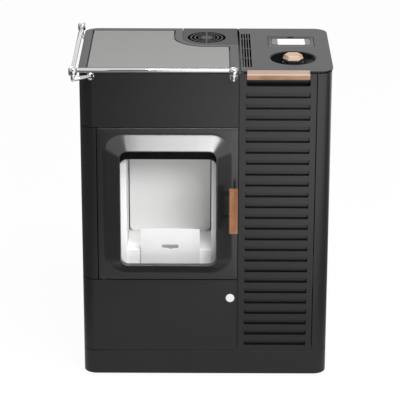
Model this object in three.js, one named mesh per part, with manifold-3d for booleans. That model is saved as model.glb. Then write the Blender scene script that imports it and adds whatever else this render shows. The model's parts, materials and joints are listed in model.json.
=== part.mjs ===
// Two-bay pellet cooking stove: firebox with hob on the left, pellet hopper and controls on the right.
// Millimetres. x runs to the right, y to the back, z up; y = 0 is the flat front of the casing while
// the pieces are made, and the finished group is moved so that its footprint is centred on the origin.
import * as THREE from "three";
import { mergeVertices } from "three/addons/utils/BufferGeometryUtils.js";
import Module from "manifold-3d";

// ---------------------------------------------------------------- driving dimensions
// casing
const bodyWidth = 680;
const bodyDepth = 409;
const topHeight = 902;
const cornerRadius = 36;
const sheet = 2; // folded steel of the casing
const seam = 2; // shadow gap between neighbouring panels
const clearance = 0.3; // gap between pieces that seat on each other
const plinthSeamHeight = 83;
const doorBottomHeight = 298;
const baySeamX = 90;
const left = -bodyWidth / 2;
const right = bodyWidth / 2;
const doorTopHeight = topHeight - 161;
const doorSeamX = left + 44.8;
const sideSeamX = right - 41.7;
const wrapDepth = 47; // how far the front pieces run back round the left corner
const sideFlange = 20; // turned-in edges of the front panels
const lipHeight = 12; // upstand of the plinth behind the panels
const plinthFloor = 3;
const footHeight = 12;
const footRadius = 18;
const footStemRadius = 5;
const footStemTop = 38;
const footInset = 60;
// top
const topPlate = 3.5;
const topOverhang = 2;
const topSeam = 4; // shadow gap between the top plates and the panels
const skirtDrop = 9.5;
const skirtGap = 6; // between the panels and the stiffener under the top plates
const hobPlateThickness = 6;
const hobGap = 3.5;
const hobLedge = 8;
const hobLeft = left + 23;
const hobRight = baySeamX - 26.7;
const hobFront = 30;
const hobRear = bodyDepth - 21.5;
const flueCentreX = baySeamX - 87.9;
const flueCentreY = bodyDepth - 90.2;
const hobFlueRadius = 91.8; // arc of the hob plate round the flue cover
const coverRadius = 66.7; // arc of the flue cover's front left corner
const coverGap = 1.4;
const coverRearLedge = 24; // width of the top frame behind the flue well
const grilleRadii = [53.5, 42.3, 31.1, 21.2];
const grilleSlotWidths = [7.2, 7.2, 7.2, 3.4];
const grilleRib = 4;
// rail
const railTubeRadius = 6;
const railReach = 30; // rail axis in front of the casing
const railSideReach = 12.8; // rail axis outside the left side
const railHeight = topHeight + 9.7;
const railRightX = baySeamX - 15.7;
const railRearY = bodyDepth - 5;
const knuckleRadius = 11.5;
const knuckleChamfer = 1.5;
const knuckleBottom = railHeight - 13.4;
const knuckleTop = railHeight + 6.1;
const railArmHeight = railHeight - 25.7;
const railArmRadius = 5.5;
const rosetteRadius = 10.5;
const rosetteThickness = 3;
const railArmRun = 45; // from the knuckle to the rosette along the casing
// firebox door
const windowLeft = doorSeamX + 63.2;
const windowRight = baySeamX - 60;
const windowBottom = doorBottomHeight + 55.5;
const windowTop = doorTopHeight - 57.6;
const windowRadius = 21;
const bezelWidth = 48;
const bezelBelow = 39.5;
const bezelAbove = 43.5;
const bezelProud = 34;
const bezelLip = 14; // depth of the return inside the rim
const bezelCornerRadius = 62;
const glassThickness = 4;
const glassLap = 14;
const maskTop = windowTop - 27; // upper edge of the clear part of the window
const frameSightDrop = 10; // the frame's and the casing's openings reach below the bezel's
const casingSightDrop = 14;
const doorFrameThickness = 4;
const doorFrameBorder = 40;
const doorFrameCorner = 12;
const gasketLap = 24;
const gasketRadius = 3.5;
const doorHingeX = doorSeamX + 9.2;
const doorHingeY = 7;
const hingePinRadius = 3;
const hingeLugHeight = 14;
const hingeLugBorder = 5; // lug material round the pin
const hingeLugLap = 4; // how far the lugs reach into the door frame
const hingeBossRadius = 4.6;
const casingLugHeight = 10;
const pinSeatDepth = 1; // floor under each pin in its boss
const hingeHeights = [windowBottom + 18.5, windowTop - 31.4];
const handleWidth = 24;
const handleDepth = 16;
const handleChamfer = 3;
const handleBottom = doorBottomHeight + 154;
const handleTop = handleBottom + 127;
const handleX = baySeamX - 13.7;
const handleProud = 46;
const strapThickness = 3;
const strapInset = 22; // from the ends of the wood to the ends of the strap
const postInset = 8; // from the strap's ends to its two posts
const postOffset = 7; // the posts stand on the flat margin beside the bezel
const postRadius = 3.5;
// lower door and ash drawer
const buttonX = baySeamX - 20.6;
const buttonHeight = doorBottomHeight - 55;
const buttonRadius = 12;
const buttonTravel = 3;
const buttonProud = 1.5;
const buttonWell = 12; // depth of the button's housing
const buttonStemRadius = 5;
const hingeRodRadius = 1.6;
const hingeRodInset = 1.4; // from the outside of the casing to the rod's axis
const drawerLeft = windowLeft;
const drawerRight = windowRight + 2;
const drawerFront = 26;
const drawerRear = 186;
const drawerBottom = plinthSeamHeight + 16;
const drawerTop = drawerBottom + 79;
const drawerSheet = 1.5;
const drawerPull = { width: 80, reach: 8, drop: 14, below: 20 };
const runnerWidth = 20;
// firebox
const fireboxInnerLeft = windowLeft + 16;
const fireboxInnerRight = windowRight - 13;
const linerThickness = 24;
const casingSheet = 3;
const casingFront = 14;
const fireboxFloor = windowBottom - 23.5;
const firebackFront = 170;
const firebackThickness = 20;
const firebackCorner = 12;
const linerTop = windowTop + 96.6;
const shelfHeight = windowBottom + 24;
const apronFront = 24;
const surroundWall = 6;
const firebackSideGap = 3;
const baffleSideGap = 0.4;
const potLeft = windowLeft + 54.4;
const potRight = windowRight - 45.1;
const potFront = 20;
const potDepth = 90;
const potRim = shelfHeight + 61.5;
const potArch = 5; // rise of the front plate's upper edge
const potBottom = fireboxFloor + 15;
const potSheet = 3;
const potFlange = 6;
const potSlot = { left: 57.8, width: 47, bottom: 38, height: 11.6, dipWidth: 24, dipDepth: 4 };
const grateSlots = { count: 5, width: 6, margin: 18 };
const airWell = 20; // how far the air opening under the pot stays inside the pot's edges
const baffleHeight = windowTop + 36.6;
const baffleFront = 70;
const baffleThickness = 12;
const igniterRadius = 9;
const igniterHeight = potBottom + 16;
const igniterTail = 40; // how far the igniter stands out behind the casing
// pellet feed
const augerY = 110;
const augerLow = { x: baySeamX + 150, z: shelfHeight + 82.5 };
const augerHigh = { x: baySeamX - 15, z: shelfHeight + 247.5 };
const augerTubeRadius = 30;
const augerTubeWall = 2.5;
const augerShaftRadius = 6;
const augerFlightRadius = 25;
const augerPitch = 40;
const augerFlightThickness = 3;
const couplingLength = 22; // how far the shaft reaches into the gearbox
const gearbox = { radius: 31, length: 38 };
const gearMotor = { radius: 22, length: 46 };
const inletX = baySeamX + 105;
const inletWidth = 50;
const hopperTop = topHeight - 30;
const hopperShoulder = hopperTop - 142;
const inletTop = hopperShoulder - 150;
const hopperLeft = baySeamX + 12;
const hopperRight = right - 14;
const hopperFront = 30;
const hopperRear = bodyDepth - 17;
const hopperSheet = 1.5;
const hopperRim = 4; // overhang of the rim at the front and rear
const rimThickness = 3;
// louvred panel and lid
const louvreLeft = baySeamX + 18.8;
const louvreRight = sideSeamX - 17.2;
const louvreHeight = 14;
const louvreFirst = plinthSeamHeight + 24; // middle of the lowest louvre
const louvreLast = topHeight - 69.6; // middle of the highest louvre
const louvreCount = 24;
const louvreDepth = 9; // how far the blades stand back
const louvreBend = 3.5; // height of the bend at their upper edges
const louvreDrop = 4; // how far their lower edges hang below the slots
const louvreSlit = 1.2; // lanced gap at both ends of a blade
const louvreSheet = 1.4;
const pocketLeft = louvreLeft + 0.5;
const pocketRight = louvreRight - 0.4;
const pocketBottom = topHeight - 43.5;
const pocketDepth = 23;
const pocketCorner = 5;
const gripGap = 1.2;
const gripBottom = topHeight - 24.4;
const gripEdge = topHeight - 11.2;
const gripProud = 3;
const gripRear = 16;
const gripTopRear = 9.5;
const lidGap = 6; // open slot between hob frame and lid
const ventFirstX = baySeamX + 10.9;
const ventPitch = 7.1;
const ventWidth = 4.4;
const ventColumns = 4;
const ventFront = 36.5;
const ventRear = bodyDepth - 53;
const ventRibs = [120, 212, 306];
const ventRib = 4;
const dishX = right - 102.6;
const dishY = 120.7;
const dishRadius = 65;
const dishDepth = 11;
const dishWall = 3; // width of the sloping wall
const dishLedge = 3; // narrow step just under the rim
const dishLedgeDrop = 1.5;
const knobRadius = 28;
const knobBaseTaper = 0.5;
const knobCapEdge = 1.5;
const knobCapTop = 24; // radius of the cap's flat top
const knobWaist = topHeight - 1.5;
const knobTop = topHeight + 10;
const knobShaftRadius = 3;
const knobShaftInset = 3; // from the top of the shaft to the cap
const knobShaftLength = 24;
const knobTravel = 1.5;
const displayLeft = right - 167.4;
const displayRight = right - 38.2;
const displayFront = dishY + 108;
const displayRear = displayFront + 100.3;
const displayDepth = 6;
const displaySink = 2.5; // glass below the top of the lid
const displayGap = 1.5; // open line at the left and right of the display
const displayNotch = { width: 17, run: 7, depth: 3 };
const glassLeft = displayLeft + 11.9;
const glassRight = displayRight - 11.1;
const glassFront = displayFront + 28.5;
const glassRear = displayRear - 14;
const glassCorner = 6;
const lcdLeft = glassLeft + 16.1;
const lcdRight = glassRight - 14.9;
const lidHingeRadius = 3;
const lidHingeInset = { left: 20, right: 60 };
// air and electrics
const smokeFanHeight = 200; // the fan stands under the middle of the ring grille
const smokeFanRadius = 62;
const smokeFanFront = bodyDepth - 109;
const smokeFanLength = 56;
const smokeWheelRadius = 48;
const smokeAxleRadius = 4;
const smokeNeckRadius = 34; // between duct and fan
const smokeMotor = { radius: 26, length: 36, rise: 18 };
const smokeOutletHeight = smokeFanHeight - 62;
const smokeOutletRadius = 40;
const smokeDuctWidth = 80;
const smokeDuctDepth = 46;
const smokeDuctTop = topHeight - 42;
const smokeMouthMargin = 6;
const smokeMouthInset = 10;
const smokeFoot = { width: 60, depth: 20 };
const pipeWall = 1.6;
const pipeStub = 12; // how far the pipes stand out of the rear panel
const airPipeX = windowLeft + 42;
const airPipeHeight = fireboxFloor - 30;
const airPipeRadius = 25;
const blowerRight = right - 50;
const blowerLeft = blowerRight - 160;
const blowerFront = 190;
const blowerRear = 330;
const blowerTop = 200;
const blowerWheelRadius = 52;
const blowerShaftRadius = 5;
const blowerBladeDepth = 12;
const rearSlots = { count: 7, pitch: 16, above: 40 }; // air slots of the rear panel, above the socket
const controlBox = { thickness: 34, front: 70, rear: 190, bottom: 150, top: 330 };
const plug = { count: 5, length: 14, pitch: 22, height: 9, thickness: 14, inset: 4 };
const socketRight = right - 60;
const socketLeft = socketRight - 66;
const socketBottom = plinthSeamHeight + 37;
const socketTop = socketBottom + 30;
const socketDepth = 24;
const socketFlange = 4;
const socketBorder = 5;
const rockerWidth = 16;
const rockerDepth = 14;
const rockerTilt = 1.8; // how far the rocker's ends stand above its middle

const panelBottom = plinthSeamHeight + seam / 2;
const plateBottom = topHeight - topPlate;
const panelTop = plateBottom - topSeam;
const skirtBottom = plateBottom - skirtDrop;
const bayWall = { x0: baySeamX - sheet / 2, x1: baySeamX + sheet / 2 };
const leftBayEdge = bayWall.x0 - clearance;
const rightBayEdge = bayWall.x1 + clearance;
const lidLeft = leftBayEdge + lidGap;
const smokeFanX = flueCentreX;
const FAR = 2000; // beyond the whole stove, for cutting boxes

// ---------------------------------------------------------------- solids
const wasm = await Module();
wasm.setup();

function solid(geometry) {
  const bare = geometry.index ? geometry.toNonIndexed() : geometry.clone();
  bare.deleteAttribute("normal");
  bare.deleteAttribute("uv");
  const merged = mergeVertices(bare, 1e-4);
  return new wasm.Manifold(
    new wasm.Mesh({
      numProp: 3,
      vertProperties: merged.attributes.position.array,
      triVerts: new Uint32Array(merged.index.array),
    }),
  );
}

function box(x0, x1, y0, y1, z0, z1) {
  const geometry = new THREE.BoxGeometry(x1 - x0, y1 - y0, z1 - z0);
  return solid(geometry.translate((x0 + x1) / 2, (y0 + y1) / 2, (z0 + z1) / 2));
}

// A shape drawn in two of the axes, extruded along the third.
function extrude(shape, depth, basis, offset, curveSegments = 3) {
  const geometry = new THREE.ExtrudeGeometry(shape, { depth, bevelEnabled: false, curveSegments });
  const matrix = new THREE.Matrix4().makeBasis(...basis).setPosition(offset);
  return solid(geometry.applyMatrix4(matrix));
}
const X = new THREE.Vector3(1, 0, 0);
const Y = new THREE.Vector3(0, 1, 0);
const Z = new THREE.Vector3(0, 0, 1);
const plan = (shape, z0, z1, segments) =>
  extrude(shape, z1 - z0, [X, Y, Z], new THREE.Vector3(0, 0, z0), segments);
const front = (shape, y0, y1, segments) =>
  extrude(shape, y1 - y0, [X, Z, Y.clone().negate()], new THREE.Vector3(0, y1, 0), segments);
const side = (shape, x0, x1, segments) =>
  extrude(shape, x1 - x0, [Y, Z, X], new THREE.Vector3(x0, 0, 0), segments);

function polygon(points) {
  return new THREE.Shape(points.map(([u, v]) => new THREE.Vector2(u, v)));
}

function roundRect(u0, u1, v0, v1, radius) {
  const shape = new THREE.Shape();
  const r = Math.min(radius, (u1 - u0) / 2 - 0.01, (v1 - v0) / 2 - 0.01);
  shape.absarc(u1 - r, v0 + r, r, -Math.PI / 2, 0);
  shape.absarc(u1 - r, v1 - r, r, 0, Math.PI / 2);
  shape.absarc(u0 + r, v1 - r, r, Math.PI / 2, Math.PI);
  shape.absarc(u0 + r, v0 + r, r, Math.PI, 1.5 * Math.PI);
  return shape;
}

function circle(u, v, r) {
  const shape = new THREE.Shape();
  shape.absarc(u, v, r, 0, 2 * Math.PI);
  return shape;
}

// A round bar from one point to another.
function rod(from, to, radius, sides = 16) {
  const a = new THREE.Vector3(...from);
  const b = new THREE.Vector3(...to);
  const geometry = new THREE.CylinderGeometry(radius, radius, a.distanceTo(b), sides);
  const turn = new THREE.Quaternion().setFromUnitVectors(Y, b.clone().sub(a).normalize());
  const middle = a.add(b).multiplyScalar(0.5);
  return solid(geometry.applyMatrix4(new THREE.Matrix4().makeRotationFromQuaternion(turn).setPosition(middle)));
}

// A turned piece on a vertical axis: [radius, height] points from the axis to the axis.
function turned(profile, x, y, sides = 32) {
  const geometry = new THREE.LatheGeometry(profile.map(([r, z]) => new THREE.Vector2(r, z)), sides);
  return solid(geometry.rotateX(Math.PI / 2).translate(x, y, 0));
}

// A solid from loose triangles, as flat [x, y, z] corners; turned right side out if need be.
function fromTriangles(corners) {
  const geometry = new THREE.BufferGeometry();
  geometry.setAttribute("position", new THREE.Float32BufferAttribute(corners.flat(), 3));
  const made = solid(geometry);
  if (made.volume() > 0) return made;
  return fromTriangles(corners.toReversed());
}

// Rings of equally many points, joined in order and closed back on the first.
function ringSolid(rings) {
  const count = rings[0].length;
  const corners = [];
  rings.forEach((ring, i) => {
    const next = rings[(i + 1) % rings.length];
    for (let j = 0; j < count; j++) {
      const k = (j + 1) % count;
      corners.push(ring[j], next[j], next[k], ring[j], next[k], ring[k]);
    }
  });
  return fromTriangles(corners);
}

const CORNER_STEPS = 5;
// Points of a rounded rectangle, always the same number, as [u, v] pairs.
function ringPoints(u0, u1, v0, v1, r) {
  const corners = [
    [u1 - r, v0 + r, -0.5],
    [u1 - r, v1 - r, 0],
    [u0 + r, v1 - r, 0.5],
    [u0 + r, v0 + r, 1],
  ];
  const points = [];
  for (const [cu, cv, start] of corners) {
    for (let i = 0; i <= CORNER_STEPS; i++) {
      const angle = (start + (0.5 * i) / CORNER_STEPS) * Math.PI;
      points.push([cu + r * Math.cos(angle), cv + r * Math.sin(angle)]);
    }
  }
  return points;
}

const group = new THREE.Group();
const materials = {
  blackSteel: { color: 0x2d2d2e, roughness: 0.55, metalness: 0.2 },
  topSteel: { color: 0x343434, roughness: 0.6, metalness: 0.2 },
  hobPlate: { color: 0x9b9c98, roughness: 0.45, metalness: 0.35 },
  chrome: { color: 0xd9dadb, roughness: 0.12, metalness: 1 },
  wood: { color: 0xa9744c, roughness: 0.6, metalness: 0 },
  copperWood: { color: 0xc08a66, roughness: 0.45, metalness: 0 },
  darkCast: { color: 0x1b1b1c, roughness: 0.7, metalness: 0.2 },
  potIron: { color: 0xe2e2e0, roughness: 0.6, metalness: 0.1 },
  glass: { color: 0xdfe6e6, roughness: 0.05, metalness: 0, transparent: true, opacity: 0.25 },
  rope: { color: 0x5a5956, roughness: 0.95, metalness: 0 },
  button: { color: 0xf2f2f2, roughness: 0.25, metalness: 0.1 },
  vermiculite: { color: 0xe4e2dc, roughness: 0.9, metalness: 0 },
  zinc: { color: 0xa7abae, roughness: 0.45, metalness: 0.8 },
  aluminium: { color: 0xb9bcbf, roughness: 0.4, metalness: 0.9 },
  blackPlastic: { color: 0x161617, roughness: 0.5, metalness: 0 },
  greyGlass: { color: 0x8d9092, roughness: 0.1, metalness: 0 },
  screen: { color: 0xf4f6f6, roughness: 0.2, metalness: 0 },
  rubber: { color: 0x1e1e1e, roughness: 0.9, metalness: 0 },
};

function add(name, made, finish) {
  const { vertProperties, triVerts } = made.getMesh();
  const geometry = new THREE.BufferGeometry();
  geometry.setAttribute("position", new THREE.BufferAttribute(new Float32Array(vertProperties), 3));
  geometry.setIndex(new THREE.BufferAttribute(new Uint32Array(triVerts), 1));
  const mesh = new THREE.Mesh(geometry, new THREE.MeshStandardMaterial(materials[finish]));
  mesh.name = name;
  group.add(mesh);
}

// ---------------------------------------------------------------- casing
function casingOutline(inset) {
  return roundRect(left + inset, right - inset, inset, bodyDepth - inset, cornerRadius - inset);
}

const cornerSegments = 3;
function casingWall(z0, z1, inset = 0, thickness = sheet) {
  const inner = plan(casingOutline(inset + thickness), z0 - 1, z1 + 1, cornerSegments);
  return plan(casingOutline(inset), z0, z1, cornerSegments).subtract(inner);
}

const footPlaces = {
  front_left: [left + footInset, footInset],
  front_right: [right - footInset, footInset],
  rear_left: [left + footInset, bodyDepth - footInset],
  rear_right: [right - footInset, bodyDepth - footInset],
};
const floorTop = footHeight + plinthFloor;
const drawerRunners = [drawerLeft + runnerWidth, drawerRight - 2 * runnerWidth];

function makePlinth() {
  const lipInset = sheet + clearance;
  let plinth = casingWall(footHeight, panelBottom - seam, 0, lipInset + sheet);
  const lip = casingWall(footHeight, panelBottom + lipHeight, lipInset, sheet);
  // The upstand stops short of the lower door, so that the drawer can come out.
  const doorway = box(-FAR, leftBayEdge, -FAR, wrapDepth + seam, panelBottom - seam, FAR);
  plinth = plinth.add(lip.subtract(doorway));
  plinth = plinth.add(plan(casingOutline(sheet), footHeight, floorTop));
  const runnerTop = drawerBottom - clearance;
  for (const x of drawerRunners) {
    const web = box(x, x + sheet, drawerFront, drawerRear, footHeight, runnerTop);
    const flange = box(x, x + runnerWidth, drawerFront, drawerRear, runnerTop - sheet, runnerTop);
    plinth = plinth.add(web).add(flange);
  }
  for (const [x, y] of Object.values(footPlaces)) {
    const hole = rod([x, y, 0], [x, y, footStemTop], footStemRadius + clearance);
    plinth = plinth.subtract(hole);
  }
  add("base_plinth", plinth, "blackSteel");
}

function makeFeet() {
  const shoulder = footHeight - clearance;
  for (const [place, [x, y]] of Object.entries(footPlaces)) {
    const profile = [
      [0, 0],
      [footRadius, 0],
      [footRadius, shoulder / 2],
      [footRadius * 0.6, shoulder],
      [footStemRadius, shoulder],
      [footStemRadius, footStemTop],
      [0, footStemTop],
    ];
    add("levelling_foot_" + place, turned(profile, x, y, 16), "rubber");
  }
}

const hingeSeam = 2 * seam; // the lower door's side edge leaves room for its hinge rod
const flatLeft = left + cornerRadius;
const flatRight = right - cornerRadius;

function makeSides() {
  const wall = casingWall(panelBottom, panelTop);
  const sideEdge = wrapDepth + seam / 2;
  const behind = box(-FAR, flatLeft - clearance, sideEdge, FAR, doorBottomHeight, FAR);
  const lower = box(-FAR, flatLeft - clearance, wrapDepth + hingeSeam / 2, FAR, 0, doorBottomHeight);
  const strip = box(
    -FAR,
    doorSeamX - seam / 2,
    -FAR,
    bodyDepth / 2,
    doorBottomHeight + seam / 2,
    doorTopHeight - seam / 2,
  );
  add("left_side_panel", wall.intersect(behind.add(lower).add(strip)), "blackSteel");
  const frontPart = box(sideSeamX + seam / 2, FAR, -FAR, bodyDepth / 2, 0, FAR);
  const rearPart = box(flatRight + clearance, FAR, bodyDepth / 2 - 1, FAR, 0, FAR);
  add("right_side_panel", wall.intersect(frontPart.add(rearPart)), "blackSteel");
}

function makeRearPanel() {
  const y0 = bodyDepth - sheet;
  let panel = box(flatLeft, flatRight, y0, bodyDepth, panelBottom, panelTop);
  const holes = [
    rod([smokeFanX, y0 - 1, smokeOutletHeight], [smokeFanX, bodyDepth + 1, smokeOutletHeight],
      smokeOutletRadius + clearance, 24),
    rod([airPipeX, y0 - 1, airPipeHeight], [airPipeX, bodyDepth + 1, airPipeHeight],
      airPipeRadius + clearance, 24),
    box(socketLeft - clearance, socketRight + clearance, y0 - 1, bodyDepth + 1,
      socketBottom - clearance, socketTop + clearance),
  ];
  for (const hole of holes) panel = panel.subtract(hole);
  const { count, pitch, above } = rearSlots;
  for (let i = 0; i < count; i++) {
    const z = socketTop + above + i * pitch;
    panel = panel.subtract(box(blowerLeft, blowerRight, y0 - 1, bodyDepth + 1, z, z + pitch / 2));
  }
  // A tongue of the panel closes the rear end of the open slot beside the lid.
  const tongueTop = topHeight - 1;
  panel = panel.add(box(leftBayEdge + clearance, lidLeft - clearance, y0, bodyDepth, panelTop - 1, tongueTop));
  add("rear_panel", panel, "blackSteel");
}

const augerAxis = new THREE.Vector3(augerHigh.x - augerLow.x, 0, augerHigh.z - augerLow.z).normalize();
function onAuger(along, radial = 0) {
  return [
    augerLow.x + augerAxis.x * along - augerAxis.z * radial,
    augerY,
    augerLow.z + augerAxis.z * along + augerAxis.x * radial,
  ];
}
const augerLength = Math.hypot(augerHigh.x - augerLow.x, augerHigh.z - augerLow.z);

function makePartition() {
  const inLip = 2 * sheet + 2 * clearance;
  const y1 = bodyDepth - inLip;
  const wall = box(bayWall.x0, bayWall.x1, inLip, y1, floorTop + clearance, skirtBottom - clearance);
  const passage = rod(onAuger(-FAR / 20), onAuger(FAR / 5), augerTubeRadius + 1);
  add("partition_wall", wall.subtract(passage), "blackSteel");
}

function makeUpperFrontPanel() {
  const z0 = doorTopHeight + seam / 2;
  const wrap = box(-FAR, leftBayEdge, -FAR, wrapDepth - seam / 2, 0, FAR);
  const flange = box(leftBayEdge - sheet, leftBayEdge, 0, sideFlange, z0, skirtBottom - clearance);
  add("upper_front_panel", casingWall(z0, panelTop).intersect(wrap).add(flange), "blackSteel");
}

// ---------------------------------------------------------------- hob and top
// Outline of the hob plate, grown by a gap on every side; its rear right corner makes way for the flue cover.
function hobOutline(grow) {
  const arc = hobFlueRadius - grow;
  const shape = new THREE.Shape();
  shape.moveTo(hobLeft - grow, hobFront - grow);
  shape.lineTo(hobRight + grow, hobFront - grow);
  shape.lineTo(hobRight + grow, flueCentreY - arc);
  shape.lineTo(flueCentreX, flueCentreY - arc);
  shape.absarc(flueCentreX, flueCentreY, arc, -Math.PI / 2, -Math.PI, true);
  shape.lineTo(flueCentreX - arc, hobRear + grow);
  shape.lineTo(hobLeft - grow, hobRear + grow);
  shape.closePath();
  return shape;
}

const topRear = bodyDepth + topOverhang;
// Outline of the flue cover; its right and rear edges are the edges of the left bay's top.
function coverOutline(grow, rightEdge, rear) {
  const arc = coverRadius + grow;
  const shape = new THREE.Shape();
  shape.moveTo(rightEdge, flueCentreY - arc);
  shape.lineTo(rightEdge, rear);
  shape.lineTo(flueCentreX - arc, rear);
  shape.lineTo(flueCentreX - arc, flueCentreY);
  shape.absarc(flueCentreX, flueCentreY, arc, Math.PI, 1.5 * Math.PI);
  shape.closePath();
  return shape;
}

function topOutline(inset, x0, x1) {
  const r = cornerRadius + topOverhang - inset;
  const reach = topOverhang - inset;
  return plan(roundRect(left - reach, right + reach, -reach, bodyDepth + reach, r), 0, FAR, cornerSegments)
    .intersect(box(x0, x1, -FAR, FAR, -1, FAR + 1));
}

function makeTopFrame() {
  const layer = (inset, z0, z1) =>
    topOutline(inset, -FAR, leftBayEdge).intersect(box(-FAR, FAR, -FAR, FAR, z0, z1));
  const seat = topHeight - hobPlateThickness - clearance;
  let frame = layer(0, plateBottom, topHeight);
  frame = frame.add(layer(topOverhang + sheet + skirtGap, skirtBottom, plateBottom + 0.5));
  frame = frame.subtract(plan(hobOutline(hobGap), seat, FAR, 8));
  frame = frame.subtract(plan(hobOutline(-hobLedge), 0, FAR, 6));
  frame = frame.subtract(plan(coverOutline(coverGap, FAR, FAR), plateBottom - clearance, FAR, 6));
  const well = leftBayEdge - hobLedge;
  frame = frame.subtract(plan(coverOutline(-hobLedge, well, bodyDepth - coverRearLedge), 0, FAR, 5));
  add("top_frame", frame, "topSteel");
}

function makeHobPlate() {
  add("hob_plate", plan(hobOutline(0), topHeight - hobPlateThickness, topHeight, 10), "hobPlate");
}

function makeFlueCover() {
  let cover = plan(coverOutline(0, leftBayEdge, topRear), plateBottom, topHeight, 6);
  grilleRadii.forEach((outer, i) => {
    const ring = circle(flueCentreX, flueCentreY, outer);
    ring.holes.push(circle(flueCentreX, flueCentreY, outer - grilleSlotWidths[i]));
    cover = cover.subtract(
      plan(ring, plateBottom - 1, topHeight + 1, 10).subtract(
        box(flueCentreX - grilleRib / 2, flueCentreX + grilleRib / 2, 0, FAR, 0, FAR),
      ),
    );
  });
  add("flue_cover", cover, "topSteel");
}

// ---------------------------------------------------------------- rail
const railX = left - railSideReach;
function knuckle(x, y) {
  const chamfer = knuckleChamfer;
  const profile = [
    [0, railArmHeight],
    [railArmRadius, railArmHeight],
    [railArmRadius, knuckleBottom],
    [knuckleRadius - chamfer, knuckleBottom],
    [knuckleRadius, knuckleBottom + chamfer],
    [knuckleRadius, knuckleTop - chamfer],
    [knuckleRadius - chamfer, knuckleTop],
    [0, knuckleTop],
  ];
  const elbow = solid(new THREE.SphereGeometry(railArmRadius, 12, 6).translate(x, y, railArmHeight));
  return turned(profile, x, y, 20).add(elbow);
}

function makeRail() {
  const y = -railReach;
  const tubeGap = knuckleRadius + clearance;
  const h = railHeight;
  const tube = (from, to) => rod(from, to, railTubeRadius);
  add("rail_front_tube", tube([railX + tubeGap, y, h], [railRightX - tubeGap, y, h]), "chrome");
  add("rail_side_tube", tube([railX, y + tubeGap, h], [railX, railRearY - tubeGap, h]), "chrome");
  const z = railArmHeight;
  const face = clearance + rosetteThickness;
  const casingBlock = box(left - clearance, FAR, -clearance, FAR, 0, FAR);
  const bracket = (x, at, seatX, seatY, normal) => {
    const inner = [seatX + normal[0] * clearance, seatY + normal[1] * clearance, z];
    const outer = [seatX + normal[0] * face, seatY + normal[1] * face, z];
    const arm = rod([x, at, z], outer, railArmRadius, 12);
    return knuckle(x, at).add(rod(inner, outer, rosetteRadius)).add(arm.subtract(casingBlock));
  };
  const leftSeat = railX + railArmRun;
  add("rail_bracket_front_left", bracket(railX, y, leftSeat, 0, [0, -1]), "chrome");
  add("rail_bracket_rear_left", bracket(railX, railRearY, left, railRearY - railArmRun, [-1, 0]), "chrome");
  add("rail_bracket_right", bracket(railRightX, y, railRightX, 0, [0, -1]), "chrome");
}

// ---------------------------------------------------------------- firebox door
const doorLeft = doorSeamX + seam / 2;
const doorBottom = doorBottomHeight + seam / 2;
const doorTop = doorTopHeight - seam / 2;

// A ring of the door pressing: how far in from the bezel's foot (0) to its rim (1), at depth y.
function bezelRing(share, y, offset = 0) {
  const du = bezelWidth * (1 - share) + offset;
  const below = bezelBelow * (1 - share) + offset;
  const above = bezelAbove * (1 - share) + offset;
  const r = windowRadius + (bezelCornerRadius - windowRadius) * (1 - share) + offset;
  const points = ringPoints(windowLeft - du, windowRight + du, windowBottom - below, windowTop + above, r);
  return points.map(([u, v]) => [u, y, v]);
}

function makeDoorBezel() {
  const edge = (y) =>
    ringPoints(doorLeft, leftBayEdge, doorBottom, doorTop, 2).map(([u, v]) => [u, y, v]);
  const rimBack = -bezelProud + bezelLip;
  const slope = [
    [0, 0],
    [0.1, -2.5],
    [0.3, -bezelProud * 0.32],
    [0.75, -bezelProud * 0.86],
    [0.92, -bezelProud],
    [1, -bezelProud + 1],
  ];
  const rings = [edge(0)];
  for (const [share, y] of slope) rings.push(bezelRing(share, y));
  rings.push(bezelRing(1, rimBack));
  rings.push(bezelRing(1, rimBack, sheet));
  for (const [share, y] of slope.slice(1, -1).reverse()) rings.push(bezelRing(share, y + sheet));
  rings.push(bezelRing(0, sheet));
  rings.push(edge(sheet));
  add("door_bezel", ringSolid(rings), "blackSteel");
}

const glassFrontY = -bezelProud + bezelLip + clearance;
const maskFrontY = glassFrontY + glassThickness + clearance;
function windowShape(grow, radius = windowRadius + grow, top = windowTop, bottom = windowBottom) {
  return roundRect(windowLeft - grow, windowRight + grow, bottom - grow, top + grow, radius);
}

function makeDoorGlass() {
  const pane = front(windowShape(glassLap), glassFrontY, glassFrontY + glassThickness, 4);
  add("door_glass", pane, "glass");
}

function makeDoorFrame() {
  const backY = sheet + clearance;
  const frameY = backY + doorFrameThickness;
  let frame = front(windowShape(doorFrameBorder, doorFrameCorner), backY, frameY, 4);
  frame = frame.add(front(windowShape(glassLap), maskFrontY, frameY, 4));
  const sight = windowShape(0, windowRadius, maskTop, windowBottom - frameSightDrop);
  frame = frame.subtract(front(sight, -FAR, FAR, 5));
  const lugLeft = doorHingeX - hingeLugBorder;
  const lugRight = windowLeft - doorFrameBorder + hingeLugLap;
  for (const z of hingeHeights) {
    const top = z + hingeLugHeight;
    const lug = box(lugLeft, lugRight, backY, doorHingeY + hingeLugBorder, z, top);
    const bore = rod([doorHingeX, doorHingeY, z - 1], [doorHingeX, doorHingeY, top + 1],
      hingePinRadius + clearance, 16);
    frame = frame.add(lug).subtract(bore);
  }
  add("door_frame", frame, "darkCast");
}

function makeDoorGasket() {
  const middleY = sheet + clearance + doorFrameThickness + clearance + gasketRadius;
  const ring = (grow, y) =>
    ringPoints(windowLeft - grow, windowRight + grow, windowBottom - grow, windowTop + grow, 20 + grow)
      .map(([u, v]) => [u, y, v]);
  const rings = [];
  const sides = 8;
  for (let i = 0; i < sides; i++) {
    const angle = (2 * Math.PI * (i + 0.5)) / sides;
    rings.push(ring(gasketLap + gasketRadius * Math.cos(angle), middleY + gasketRadius * Math.sin(angle)));
  }
  add("door_gasket", ringSolid(rings), "rope");
}

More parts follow.
